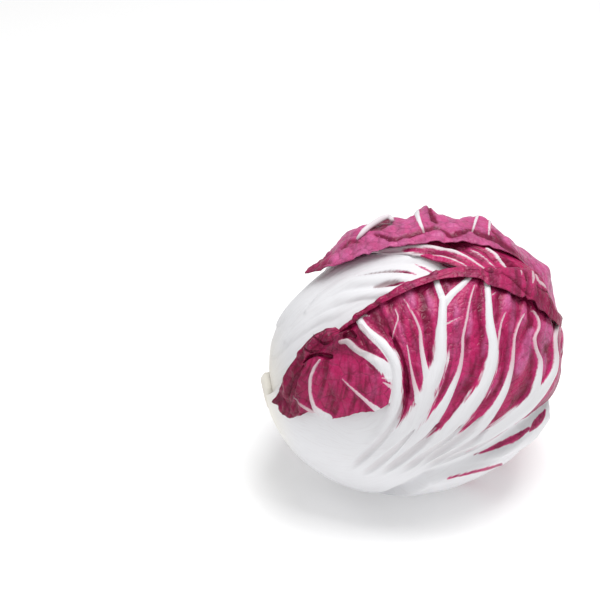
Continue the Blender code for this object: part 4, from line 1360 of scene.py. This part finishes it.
# Dark wedges between the folds of the lower leaf, and the folds.
LOWER_PATCHES = (
    Stroke(((544, 409, 0.8), (540, 416, 3), (535, 423, 3.2), (529, 431, 0.8)), 0.0),
    Stroke(((528, 428, 1.6), (516, 437, 3.2), (500, 445, 2.8), (486, 451, 1.5), (474, 455, 0.5)), 0.0),
    Stroke(((500, 463, 1.4), (484, 468, 1.6), (466, 473, 1.4), (448, 478, 0.8)), 0.0),
)
LOWER_FOLDS = (
    Stroke(((549, 412, 1.4), (541, 428, 3), (526, 440, 3.6), (504, 452, 4), (476, 460, 4.5),
        (440, 468, 5)), 1.1),
    Stroke(((544, 432, 1.4), (528, 446, 2.6), (506, 458, 3), (476, 467, 3.4), (440, 474, 4)), 0.9),
    Stroke(((524, 450, 1.4), (502, 462, 2.2), (472, 471, 2.6), (436, 479, 3)), 0.8),
)


@dataclass
class LowerLeaf(Sheet):
    """The leaf that the head rests on, seen as white folds with dark wedges at the lower right.

    cover pairs angles from the stem with the angle round it up to which other leaves cover it,
    and under pairs angles round the stem with the angle from it where the cover starts again.
    """

    wide: int = 260
    long: int = 210
    inner_steps: tuple[int, int] = (3, 3)
    height: float = 3.2
    bare_rise: float = 4.4
    ribs: Ribs = Ribs(wide=3.2, narrow=1.0, white=0.42, height=1.0)
    rows: Marks = ((RING, -60, -138), (20, -64, -141), (40, -60, -139), (60, -50, -137),
                   (80, -38, -136), (100, -28, -134), (120, -20, -129), (140, -14, -134),
                   (157, -10, -136))
    cover: Marks = ((0, 50, 72, 85, 125, 141, 155), (-108, -106, -80, -58, -56, -66, -82))
    under: Marks = ((-140, -95), (124, 138))

    def build(self) -> Item:
        """The leaf as a closed sheet.

        Returns:
            The piece.
        """
        net, direction, away, turn = self.grid(11, self.rows, 0.05)
        covered = np.interp(away, *self.cover)
        under = np.interp(turn, *self.under)
        bare = ease((covered - turn) / 9.0) * (1.0 - ease((away - under) / 12.0))
        level = self.height + self.bare_rise * bare
        plain = HEAD.place(direction, level)
        spots = HEAD.picture(plain)
        border, rib, along = column_ribs(plain, net, self.ribs)
        front = ease((direction @ HEAD.toward + 0.52) / 0.16)
        patch, _, _ = draw(spots, LOWER_PATCHES)
        _, folds, _ = draw(spots, LOWER_FOLDS)
        white = -border * (1.0 - front) + patch * front
        blade = ease(-white / 0.8)
        inside, mark = quilt(plain, 5.0, 121)
        pucker = 0.4 * ease(inside / 0.6) * (0.4 + mark) * blade
        height = (level + rib * (1.0 - front) + folds * front * bare + pucker
                  + 0.25 * ripple(plain, 9.0, 122) * ease((away - 40) / 30)
                  + 1.5 * np.exp(-((away - 135.0) / 10.0) ** 2 - ((turn + 80.0) / 14.0) ** 2))
        outer = HEAD.place(direction, height)
        skin = Skin(white=np.clip(white, -4, 4), feather=0.4 + 1.2 * ease((0.75 - along) / 0.3),
                    lilac=0.1, shade=0.2 * blade, cream=creamy(away), valley=inside * 2.5,
                    thin=0.5 * ease((along - 0.6) / 0.3) * (1.0 - front))
        return self.close("lower_leaf", "leaf_lower", outer, skin)


@dataclass
class LowBackLeaf(Sheet):
    """The leaf between the back leaf and the lower leaf, low on the far side."""

    wide: int = 150
    long: int = 170
    inner_steps: tuple[int, int] = (3, 3)
    height: float = 5.4
    ribs: Ribs = Ribs(wide=3.0, narrow=0.7, white=0.34, height=0.8)
    rows: Marks = ((RING, 178, 240), (20, 176, 242), (40, 176, 242), (60, 178, 242),
                   (90, 180, 242), (115, 182, 238), (134, 186, 230))

    def build(self) -> Item:
        """The leaf as a closed sheet.

        Returns:
            The piece.
        """
        net, direction, away, _ = self.grid(7, self.rows, 0.08)
        level = self.height - NEAR_STEM_SINK * (1.0 - ease(away / 50.0))
        plain = HEAD.place(direction, level)
        border, rib, along = column_ribs(plain, net, self.ribs)
        blade = ease(border / 0.8)
        inside, mark = quilt(plain, 5.0, 131)
        pucker = 0.45 * ease(inside / 0.6) * (0.4 + mark) * blade
        outer = HEAD.place(direction, level + 0.8 * rib + pucker)
        skin = Skin(white=-border, feather=0.2 + 1.8 * ease((0.6 - along) / 0.3), lilac=0.15,
                    shade=0.1 * blade, cream=creamy(away), valley=inside * 2.5,
                    thin=0.5 * ease((along - 0.6) / 0.3))
        return self.close("low_back_leaf", "leaf_low_back", outer, skin)


def closed_ball(name: str, points: Array, ends: Array | tuple[Array, Array], skin: Skin) -> Item:
    """Closed body from rings of points between two end points.

    Args:
        name: the piece's name.
        points: rings by points round by 3, in mm; the rings don't repeat their first point.
        ends: the two end points.
        skin: what the finish reads, rings by points round.

    Returns:
        The object.
    """
    rings, around = points.shape[:2]
    index = np.arange(rings * around).reshape(rings, around)
    after = np.roll(index, -1, axis=1)
    quads = np.stack([index[:-1], index[1:], after[1:], after[:-1]], axis=-1).reshape(-1, 4)
    first, last = rings * around, rings * around + 1
    caps = [(first, int(a), int(b)) for a, b in zip(index[0], after[0])]
    caps += [(last, int(b), int(a)) for a, b in zip(index[-1], after[-1])]
    mesh = bpy.data.meshes.new(name)
    vertices = np.concatenate([points.reshape(-1, 3), np.stack(ends)]) * MM
    mesh.from_pydata(vertices.tolist(), [], [tuple(q) for q in quads.tolist()] + caps)
    mesh.polygons.foreach_set("use_smooth", np.ones(len(mesh.polygons), dtype=bool))
    skin.spread(mesh, np.append(np.arange(rings * around), (0, rings * around - 1)))
    mesh.validate()
    mesh.update()
    item = bpy.data.objects.new(name, mesh)
    bpy.context.scene.collection.objects.link(item)
    return item


@dataclass
class Heart:
    """The dense heart, with the overlapping edges of its tight leaves."""

    rings: int = 130
    around: int = 220
    height: float = -2.4
    overlap: float = 0.7

    def build(self) -> Item:
        """The heart as a closed body.

        Returns:
            The piece. Its height rises by the overlap in mm across each tight leaf and drops at
            that leaf's edge, which runs round the head in a spiral.
        """
        away, turn = np.meshgrid(np.linspace(0, 180, self.rings + 2)[1:-1],
                                 np.linspace(-180, 180, self.around + 1)[:-1], indexing="ij")
        marks = np.stack([away.ravel(), turn.ravel()], axis=-1)
        direction = HEAD.around(*marks).reshape(self.rings, self.around, 3)
        flat = HEAD.place(direction, self.height + self.overlap)
        spiral = (turn / 72.0 + away / 90.0 + 0.06 * ripple(flat, 9.0, 141)) % 1.0
        height = (self.height + self.overlap * spiral * np.sin(np.radians(away)) ** 2
                  + 0.12 * ripple(flat, 4.0, 142))
        ends = HEAD.place(np.array([HEAD.stem_axis, -HEAD.stem_axis]), self.height)
        rim = (spiral - 0.72) * 20.0 + (away - 120.0) * 0.05
        # The edge of each tight leaf, and more the strip just under it, are painted darker as shade.
        skin = Skin(white=np.clip(-rim, -2, 3), feather=1.2, lilac=0.3,
                    shade=0.2 * ease((spiral - 0.9) / 0.1) + 0.5 * ease(1.0 - spiral / 0.06),
                    cream=0.5)
        return dress(closed_ball("heart_core", HEAD.place(direction, height), ends, skin), "heart")


@dataclass
class Stem:
    """The short stalk with its cut face.

    inner and outer are its ends' heights above the spheroid in mm, slope its radius as a share
    of the distance from the head's middle, and edge the inset and drop in mm of each step of the
    cut face's rounded edge.
    """

    around: int = 128
    inner: float = -0.6
    outer: float = 7.7
    slope: float = 0.152
    dish: float = 0.25
    edge: Marks = ((1.9, 0.12), (1.2, 0.35), (0.6, 0.8), (0.2, 1.5), (0.0, 2.4))
    grooves: int = 17
    groove_depth: float = 0.12

    def build(self) -> Item:
        """The stalk as a closed body: a cone with a rounded, slightly dished cut face.

        Returns:
            The piece.
        """
        low, high = HEAD.round_radius + self.inner, HEAD.round_radius + self.outer
        wide = self.slope * high
        profile = [(wide * k / 14.0, high - self.dish * (1 - (k / 14.0) ** 2)) for k in range(1, 11)]
        profile += [(wide - inset, high - drop) for inset, drop in self.edge]
        profile += [(self.slope * r, r) for r in np.linspace(high - 3.2, low, 14)]
        profile += [(self.slope * low * k, low) for k in (0.9, 0.6, 0.3)]
        radius, reach = np.array(profile).T
        radius = radius * (1.0 - 0.14 * ease((reach - high + 4.0) / 4.0))
        turn = np.linspace(0.0, 2.0 * np.pi, self.around + 1)[:-1]
        foot = (np.array(HEAD.centre) + (HEAD.long_radius - HEAD.round_radius)
                * (HEAD.stem_axis @ HEAD.long_axis) * HEAD.long_axis)
        out = np.cos(turn)[:, None] * HEAD.toward + np.sin(turn)[:, None] * HEAD.side_axis
        points = foot + radius[:, None, None] * out[None] + reach[:, None, None] * HEAD.stem_axis
        rough = 0.18 * ripple(points, 1.6, 151) + 0.10 * ripple(points, 0.8, 152)
        face = ease((reach - high + 1.2) / 1.2)[:, None]
        points = points + (rough * face)[..., None] * HEAD.stem_axis
        groove = self.groove_depth * (0.5 + 0.5 * np.sin(turn * self.grooves)) * (1 - face)
        points = points - groove[..., None] * out[None]
        ends = (foot + (high - self.dish) * HEAD.stem_axis, foot + low * HEAD.stem_axis)
        ring = np.exp(-((radius / wide - 0.62) / 0.09) ** 2)[:, None] * face
        skin = Skin(white=np.full(points.shape[:2], 3.0), shade=0.35 * ring + 0.10 * face,
                    cream=1.0)
        return dress(closed_ball("cut_stem", points, ends, skin), "stem")


@dataclass
class LiftedRib:
    """The torn rib that stands off the back leaf's edge like a small bridge.

    Each spot of its centre line holds a picture point, the height in mm and the radius in mm.
    """

    rings: int = 90
    around: int = 28
    flat: float = 0.8
    spots: tuple[tuple[float, float, float, float], ...] = (
        (357, 239, 7.8, 0.5), (359.5, 236, 8.6, 0.8), (364, 231, 9.4, 1.05),
        (370, 226, 9.8, 1.2), (377, 221.5, 9.8, 1.25), (384, 217.8, 9.8, 1.2),
        (389, 216.8, 9.6, 1.1), (391.8, 219.5, 8.8, 0.9), (392.5, 223.5, 6.5, 0.7))

    def build(self) -> Item:
        """The rib as a closed tube.

        Returns:
            The piece. Its centre line runs smoothly through the spots, and its section is a
            circle flattened to the share flat.
        """
        marks = smooth_line(np.array(self.spots, float), np.linspace(0.0, 1.0, self.rings))
        middle = np.concatenate([HEAD.place(HEAD.seen((x, y), height=h), h) for x, y, h, _ in marks])
        run = unit(np.gradient(middle, axis=0))
        side = unit(np.cross(run, HEAD.toward))
        out = np.cross(side, run)
        turn = np.linspace(0.0, 2.0 * np.pi, self.around + 1)[:-1]
        radius = marks[:, 3] * (1.0 + 0.07 * ripple(middle, 2.2, 161))
        points = middle[:, None] + radius[:, None, None] * (
            np.cos(turn)[None, :, None] * side[:, None]
            + self.flat * np.sin(turn)[None, :, None] * out[:, None])
        skin = Skin(white=np.full(points.shape[:2], 3.0), shade=0.1, thin=0.25)
        return dress(closed_ball("lifted_rib", points, (middle[0], middle[-1]), skin), "leaf_back")


def colour(red: int, green: int, blue: int) -> tuple[float, float, float, float]:
    """Linear colour from 0 to 255 screen values."""
    screen = np.array([red, green, blue]) / 255.0
    linear = np.where(screen <= 0.04045, screen / 12.92, ((screen + 0.055) / 1.055) ** 2.4)
    return (*(float(c) for c in linear), 1.0)


class Wiring:
    """Short ways to add and join nodes in one tree."""

    def __init__(self, tree: bpy.types.NodeTree) -> None:
        """Keep the tree."""
        self.tree = tree

    def add(self, kind: str, **settings: object) -> bpy.types.Node:
        """Add a node and set its properties."""
        node = self.tree.nodes.new(kind)
        for key, value in settings.items():
            setattr(node, key, value)
        return node

    def put(self, value: object, socket: Socket) -> None:
        """Link an output to a socket, or set the socket's own value."""
        if isinstance(value, Socket):
            self.tree.links.new(value, socket)
        else:
            socket.default_value = value

    def maths(self, operation: str, one: object, two: object = 0.0) -> Socket:
        """A Math node's result."""
        node = self.add("ShaderNodeMath", operation=operation)
        self.put(one, node.inputs[0])
        self.put(two, node.inputs[1])
        return node.outputs[0]

    def times(self, one: object, two: object) -> Socket:
        """The product of two values."""
        return self.maths("MULTIPLY", one, two)

    def plus(self, one: object, two: object) -> Socket:
        """The sum of two values."""
        return self.maths("ADD", one, two)

    def stretched(self, vector: object, scale: Triple) -> Socket:
        """A vector scaled along its axes by a Mapping node."""
        node = self.add("ShaderNodeMapping", vector_type="POINT")
        self.put(vector, node.inputs["Vector"])
        node.inputs["Scale"].default_value = scale
        return node.outputs["Vector"]

    def spread(self, value: object, low: float, high: float, start: float = 0.0,
               end: float = 1.0) -> Socket:
        """A value eased from one range to another."""
        node = self.add("ShaderNodeMapRange", interpolation_type="SMOOTHSTEP")
        for number, label in ((value, "Value"), (low, "From Min"), (high, "From Max"),
                              (start, "To Min"), (end, "To Max")):
            self.put(number, node.inputs[label])
        return node.outputs["Result"]

    def blend(self, share: object, one: object, two: object) -> Socket:
        """Two colours mixed by a share."""
        node = self.add("ShaderNodeMix", data_type="RGBA")
        for value, place in ((share, 0), (one, 6), (two, 7)):
            self.put(value, node.inputs[place])
        return node.outputs[2]

    def level(self, share: object, one: object, two: object) -> Socket:
        """Two values mixed by a share."""
        node = self.add("ShaderNodeMix", data_type="FLOAT")
        for value, place in ((share, 0), (one, 2), (two, 3)):
            self.put(value, node.inputs[place])
        return node.outputs[0]

    def noise(self, vector: object, scale: float, detail: float = 3.0) -> Socket:
        """A Noise texture's value."""
        node = self.add("ShaderNodeTexNoise")
        for value, label in ((vector, "Vector"), (scale, "Scale"), (detail, "Detail"),
                             (0.55, "Roughness")):
            self.put(value, node.inputs[label])
        return node.outputs["Fac"]

    def cells(self, vector: object, scale: float) -> Socket:
        """A Voronoi texture's distance to the nearest cell edge."""
        node = self.add("ShaderNodeTexVoronoi", feature="DISTANCE_TO_EDGE")
        self.put(vector, node.inputs["Vector"])
        node.inputs["Scale"].default_value = scale
        return node.outputs["Distance"]


def new_group(name: str, inputs: list[tuple[str, str]], outputs: list[tuple[str, str]]
              ) -> tuple[bpy.types.NodeTree, Wiring, bpy.types.Node, bpy.types.Node]:
    """An empty shader node group with named inputs and outputs.

    Args:
        name: the group's name.
        inputs: the name and kind of each input.
        outputs: the name and kind of each output.

    Returns:
        The group, its wiring, and its nodes for the given values and the results.
    """
    tree = bpy.data.node_groups.new(name, "ShaderNodeTree")
    for side, sockets in (("INPUT", inputs), ("OUTPUT", outputs)):
        for label, kind in sockets:
            tree.interface.new_socket(name=label, in_out=side, socket_type=kind)
    wiring = Wiring(tree)
    return tree, wiring, wiring.add("NodeGroupInput"), wiring.add("NodeGroupOutput")


@dataclass(frozen=True)
class Palette:
    """Screen colours of the leaves, from 0 to 255: the blade's, then the ribs'."""

    # pale is the blade's own lilac tone and its painted highlights, dark its fine veins and its painted
    # shade, and rib_shade the faint streaks of the ribs, the ring of the cut stem and the painted shade
    # on the white parts.
    deep: Screen = (118, 5, 50)
    middle: Screen = (184, 26, 92)
    light: Screen = (218, 100, 158)
    pale: Screen = (206, 104, 158)
    fringe: Screen = (216, 56, 130)
    dark: Screen = (84, 0, 34)
    rib: Screen = (230, 230, 233)
    creamy: Screen = (240, 236, 226)
    rib_shade: Screen = (134, 86, 94)
    vein: Screen = (216, 178, 188)

    def named(self) -> dict[str, Screen]:
        """Each colour by the name of the group input that it sets."""
        return {item.name.title(): getattr(self, item.name) for item in fields(self)}


@dataclass(frozen=True)
class LeafFinish:
    """Colours and gloss of a leaf: the dark blade, its paler and pinker parts and the ribs.

    Scales are per metre. The streaks and the broad cloudy parts are stretched along the leaf.
    """

    name: str
    palette: Palette = Palette()
    bump: float = 0.5
    bump_distance: float = 0.0005
    gloss: float = 0.26
    streak_scale: Triple = (1300.0, 110.0, 1.0)
    cloud_scale: Triple = (420.0, 62.0, 1.0)
    net_scale: float = 420.0
    speck_scale: float = 300.0
    grain_scale: float = 900.0
    crinkle_scale: float = 800.0
    vein_share: float = 0.30
    net_share: float = 0.20
    blade_shade: float = 0.72
    rib_shade: float = 0.65

    def pattern(self) -> bpy.types.NodeTree:
        """The shared group for the blade's and ribs' colour, relief and roughness.

        Returns:
            The group, built once.
        """
        known = bpy.data.node_groups.get("leaf_pattern")
        if known is not None:
            return known
        inputs = [(label.title(), "NodeSocketFloat") for label in FIELDS]
        inputs += [("Place", "NodeSocketVector"), ("Chart", "NodeSocketVector")]
        inputs += [(label, "NodeSocketColor") for label in self.palette.named()]
        outputs = [("Color", "NodeSocketColor"), ("Height", "NodeSocketFloat"),
                   ("Roughness", "NodeSocketFloat")]
        tree, wire, given, result = new_group("leaf_pattern", inputs, outputs)
        get = given.outputs
        streak = wire.noise(wire.stretched(get["Chart"], self.streak_scale), 1.0, 2.0)
        mask, fringe = self.borders(wire, get, streak)
        speck = wire.spread(wire.noise(get["Place"], self.speck_scale), 0.42, 0.74)
        vein = wire.spread(get["Valley"], 0.03, 0.26, 1.0, 0.0)
        cells = wire.cells(get["Place"], self.net_scale)
        blade = self.blade(wire, get, fringe, speck, wire.plus(
            wire.times(vein, self.vein_share),
            wire.times(wire.spread(cells, 0.0, 0.07, 1.0, 0.0), self.net_share)))
        rib = wire.blend(get["Cream"], get["Rib"], get["Creamy"])
        rib = wire.blend(wire.times(get["Thin"], 0.85), rib, get["Vein"])
        rib = wire.blend(wire.times(wire.spread(streak, 0.45, 0.75), 0.06), rib, get["Rib_Shade"])
        rib = wire.blend(wire.times(get["Shade"], self.rib_shade), rib, get["Rib_Shade"])
        wire.put(wire.blend(mask, blade, rib), result.inputs["Color"])
        swell = wire.times(wire.spread(cells, 0.0, 0.25), 0.45)
        crinkle = wire.times(wire.noise(get["Place"], self.crinkle_scale, 2.0), 0.12)
        rough = wire.maths("SUBTRACT", wire.plus(swell, crinkle), wire.times(vein, 0.5))
        wire.put(wire.level(mask, rough, wire.times(streak, 0.25)), result.inputs["Height"])
        wire.put(wire.level(mask, wire.spread(speck, 0.0, 1.0, 0.34, 0.48), 0.42),
                 result.inputs["Roughness"])
        return tree

    def borders(self, wire: Wiring, get: object, streak: object) -> tuple[object, object]:
        """Where the ribs are, and the fringe beside them.

        Args:
            wire: the group's wiring.
            get: the group's given values.
            streak: the streaks that make the border ragged.

        Returns:
            The mask of the ribs and the share of the fringe colour on the blade.
        """
        ragged = wire.times(wire.times(wire.maths("SUBTRACT", streak, 0.5), 2.4), get["Feather"])
        grain = wire.maths("SUBTRACT", wire.noise(get["Place"], self.grain_scale), 0.5)
        white = wire.plus(wire.plus(get["White"], ragged), wire.times(grain, 0.3))
        soft = wire.plus(1.0, wire.times(get["Feather"], 1.3))
        mask = wire.spread(wire.maths("DIVIDE", white, soft), -0.16, 0.16)
        return mask, wire.spread(white, -1.4, 0.0)

    def blade(self, wire: Wiring, get: object, fringe: object, speck: object,
              lines: object) -> Socket:
        """Colour of the blade between the ribs.

        Args:
            wire: the group's wiring.
            get: the group's given values.
            fringe: the share of the fringe colour.
            speck: small paler specks.
            lines: how dark the fine veins are.

        Returns:
            The deep and middle colours in clouds, then the specks, pale parts with their painted
            highlights, fringe, veins and painted shade over them.
        """
        cloud = wire.noise(wire.stretched(get["Chart"], self.cloud_scale), 1.0, 2.0)
        pale = wire.times(get["Lilac"], wire.plus(0.60, wire.times(speck, 0.34)))
        pale = wire.times(pale, wire.spread(get["Shade"], 0.1, 0.9, 1.0, 0.25))
        blade = wire.blend(wire.spread(cloud, 0.34, 0.60), get["Deep"], get["Middle"])
        for share, label in ((wire.times(speck, 0.20), "Light"), (pale, "Pale"),
                             (wire.times(fringe, 0.45), "Fringe"), (lines, "Dark"),
                             (wire.times(get["Shade"], self.blade_shade), "Dark")):
            blade = wire.blend(share, blade, get[label])
        return blade

    def build(self) -> bpy.types.Material:
        """The material: the shared group feeds the shader's colour, roughness and normal.

        Returns:
            The material.
        """
        material = bpy.data.materials.new(self.name)
        material.use_nodes = True
        wire = Wiring(material.node_tree)
        shader = material.node_tree.nodes["Principled BSDF"]
        group = wire.add("ShaderNodeGroup", node_tree=self.pattern())
        for label in FIELDS:
            source = wire.add("ShaderNodeAttribute", attribute_type="GEOMETRY",
                              attribute_name=label)
            wire.put(source.outputs["Fac"], group.inputs[label.title()])
        wire.put(wire.add("ShaderNodeTexCoord").outputs["Object"], group.inputs["Place"])
        chart = wire.add("ShaderNodeUVMap", uv_map="leaf")
        wire.put(chart.outputs["UV"], group.inputs["Chart"])
        for label, value in self.palette.named().items():
            group.inputs[label].default_value = colour(*value)
        bump = wire.add("ShaderNodeBump")
        bump.inputs["Strength"].default_value = self.bump
        bump.inputs["Distance"].default_value = self.bump_distance
        wire.put(group.outputs["Height"], bump.inputs["Height"])
        for source, label in ((group.outputs["Color"], "Base Color"),
                              (group.outputs["Roughness"], "Roughness"),
                              (bump.outputs["Normal"], "Normal")):
            wire.put(source, shader.inputs[label])
        shader.inputs["Specular IOR Level"].default_value = self.gloss
        return material


@dataclass(frozen=True)
class Studio:
    """Plain pale floor, soft light from above and the camera of the photograph.

    Each lamp has a name, a place and a size in metres, and its power as a share of the key's.
    """

    floor_size: float = 6.0
    floor_white: float = 0.95
    floor_rough: float = 0.7
    floor_glow: float = 0.2
    lens: float = 135.0
    key_power: float = 8.4
    fill: float = 0.40
    aim_height: float = 0.055
    lamps: tuple[tuple[str, Triple, float, float], ...] = (
        ("key", (0.14, -0.06, 1.0), 0.6, 1.0), ("front", (-0.60, -0.70, 0.45), 0.9, 0.1))

    def build(self) -> None:
        """Make the floor, lights, world and camera."""
        scene = bpy.context.scene
        mesh = bpy.data.meshes.new("floor")
        half = self.floor_size / 2.0
        mesh.from_pydata([(-half, -half, 0), (half, -half, 0), (half, half, 0), (-half, half, 0)],
                         [], [(0, 1, 2, 3)])
        floor = bpy.data.objects.new("floor", mesh)
        scene.collection.objects.link(floor)
        paint = bpy.data.materials.new("pale_floor")
        paint.use_nodes = True
        shader = paint.node_tree.nodes["Principled BSDF"]
        shader.inputs["Base Color"].default_value = (*[self.floor_white] * 3, 1.0)
        shader.inputs["Roughness"].default_value = self.floor_rough
        shader.inputs["Emission Color"].default_value = (1.0, 1.0, 1.0, 1.0)
        shader.inputs["Emission Strength"].default_value = self.floor_glow
        mesh.materials.append(paint)
        world = bpy.data.worlds.new("studio")
        scene.world = world
        world.use_nodes = True
        sky = world.node_tree.nodes["Background"].inputs
        sky["Color"].default_value = (1.0, 1.0, 1.0, 1.0)
        sky["Strength"].default_value = self.fill
        for name, place, size, share in self.lamps:
            self.lamp(name, place, size, self.key_power * share)
        scene.view_settings.view_transform = "Standard"
        camera = bpy.data.cameras.new("camera")
        camera.sensor_width = 36.0
        camera.lens = self.lens
        camera.clip_start = 0.01
        camera.clip_end = 20.0
        item = bpy.data.objects.new("camera", camera)
        item.location = Vector(np.array(HEAD.centre) + HEAD.eye) * MM
        item.rotation_euler = Vector(-HEAD.toward).to_track_quat("-Z", "Y").to_euler()
        scene.collection.objects.link(item)
        scene.camera = item

    def lamp(self, name: str, place: Triple, size: float,
             power: float) -> None:
        """Add a square area light that looks at the head."""
        light = bpy.data.lights.new(name, "AREA")
        light.size = size
        light.energy = power
        item = bpy.data.objects.new(name, light)
        item.location = place
        aim = Vector((0.0, 0.0, self.aim_height)) - Vector(place)
        item.rotation_euler = aim.to_track_quat("-Z", "Y").to_euler()
        bpy.context.scene.collection.objects.link(item)


def main() -> None:
    """Build the studio and every piece, dress each one and report it."""
    logging.basicConfig(level=logging.INFO, format="%(name)s: %(message)s")
    Studio().build()
    leaf = LeafFinish("leaf").build()
    for part in (Stem(), Heart(), InnerLeaf(), EdgeLeaf(), LowerLeaf(), LowBackLeaf(), FrontLeaf(),
                 TornLobe(), BackLeaf(), LiftedRib()):
        piece = part.build()
        piece.data.materials.append(leaf)
        LOG.info("%s: %d faces", piece.name, len(piece.data.polygons))


if __name__ == "__main__":
    main()
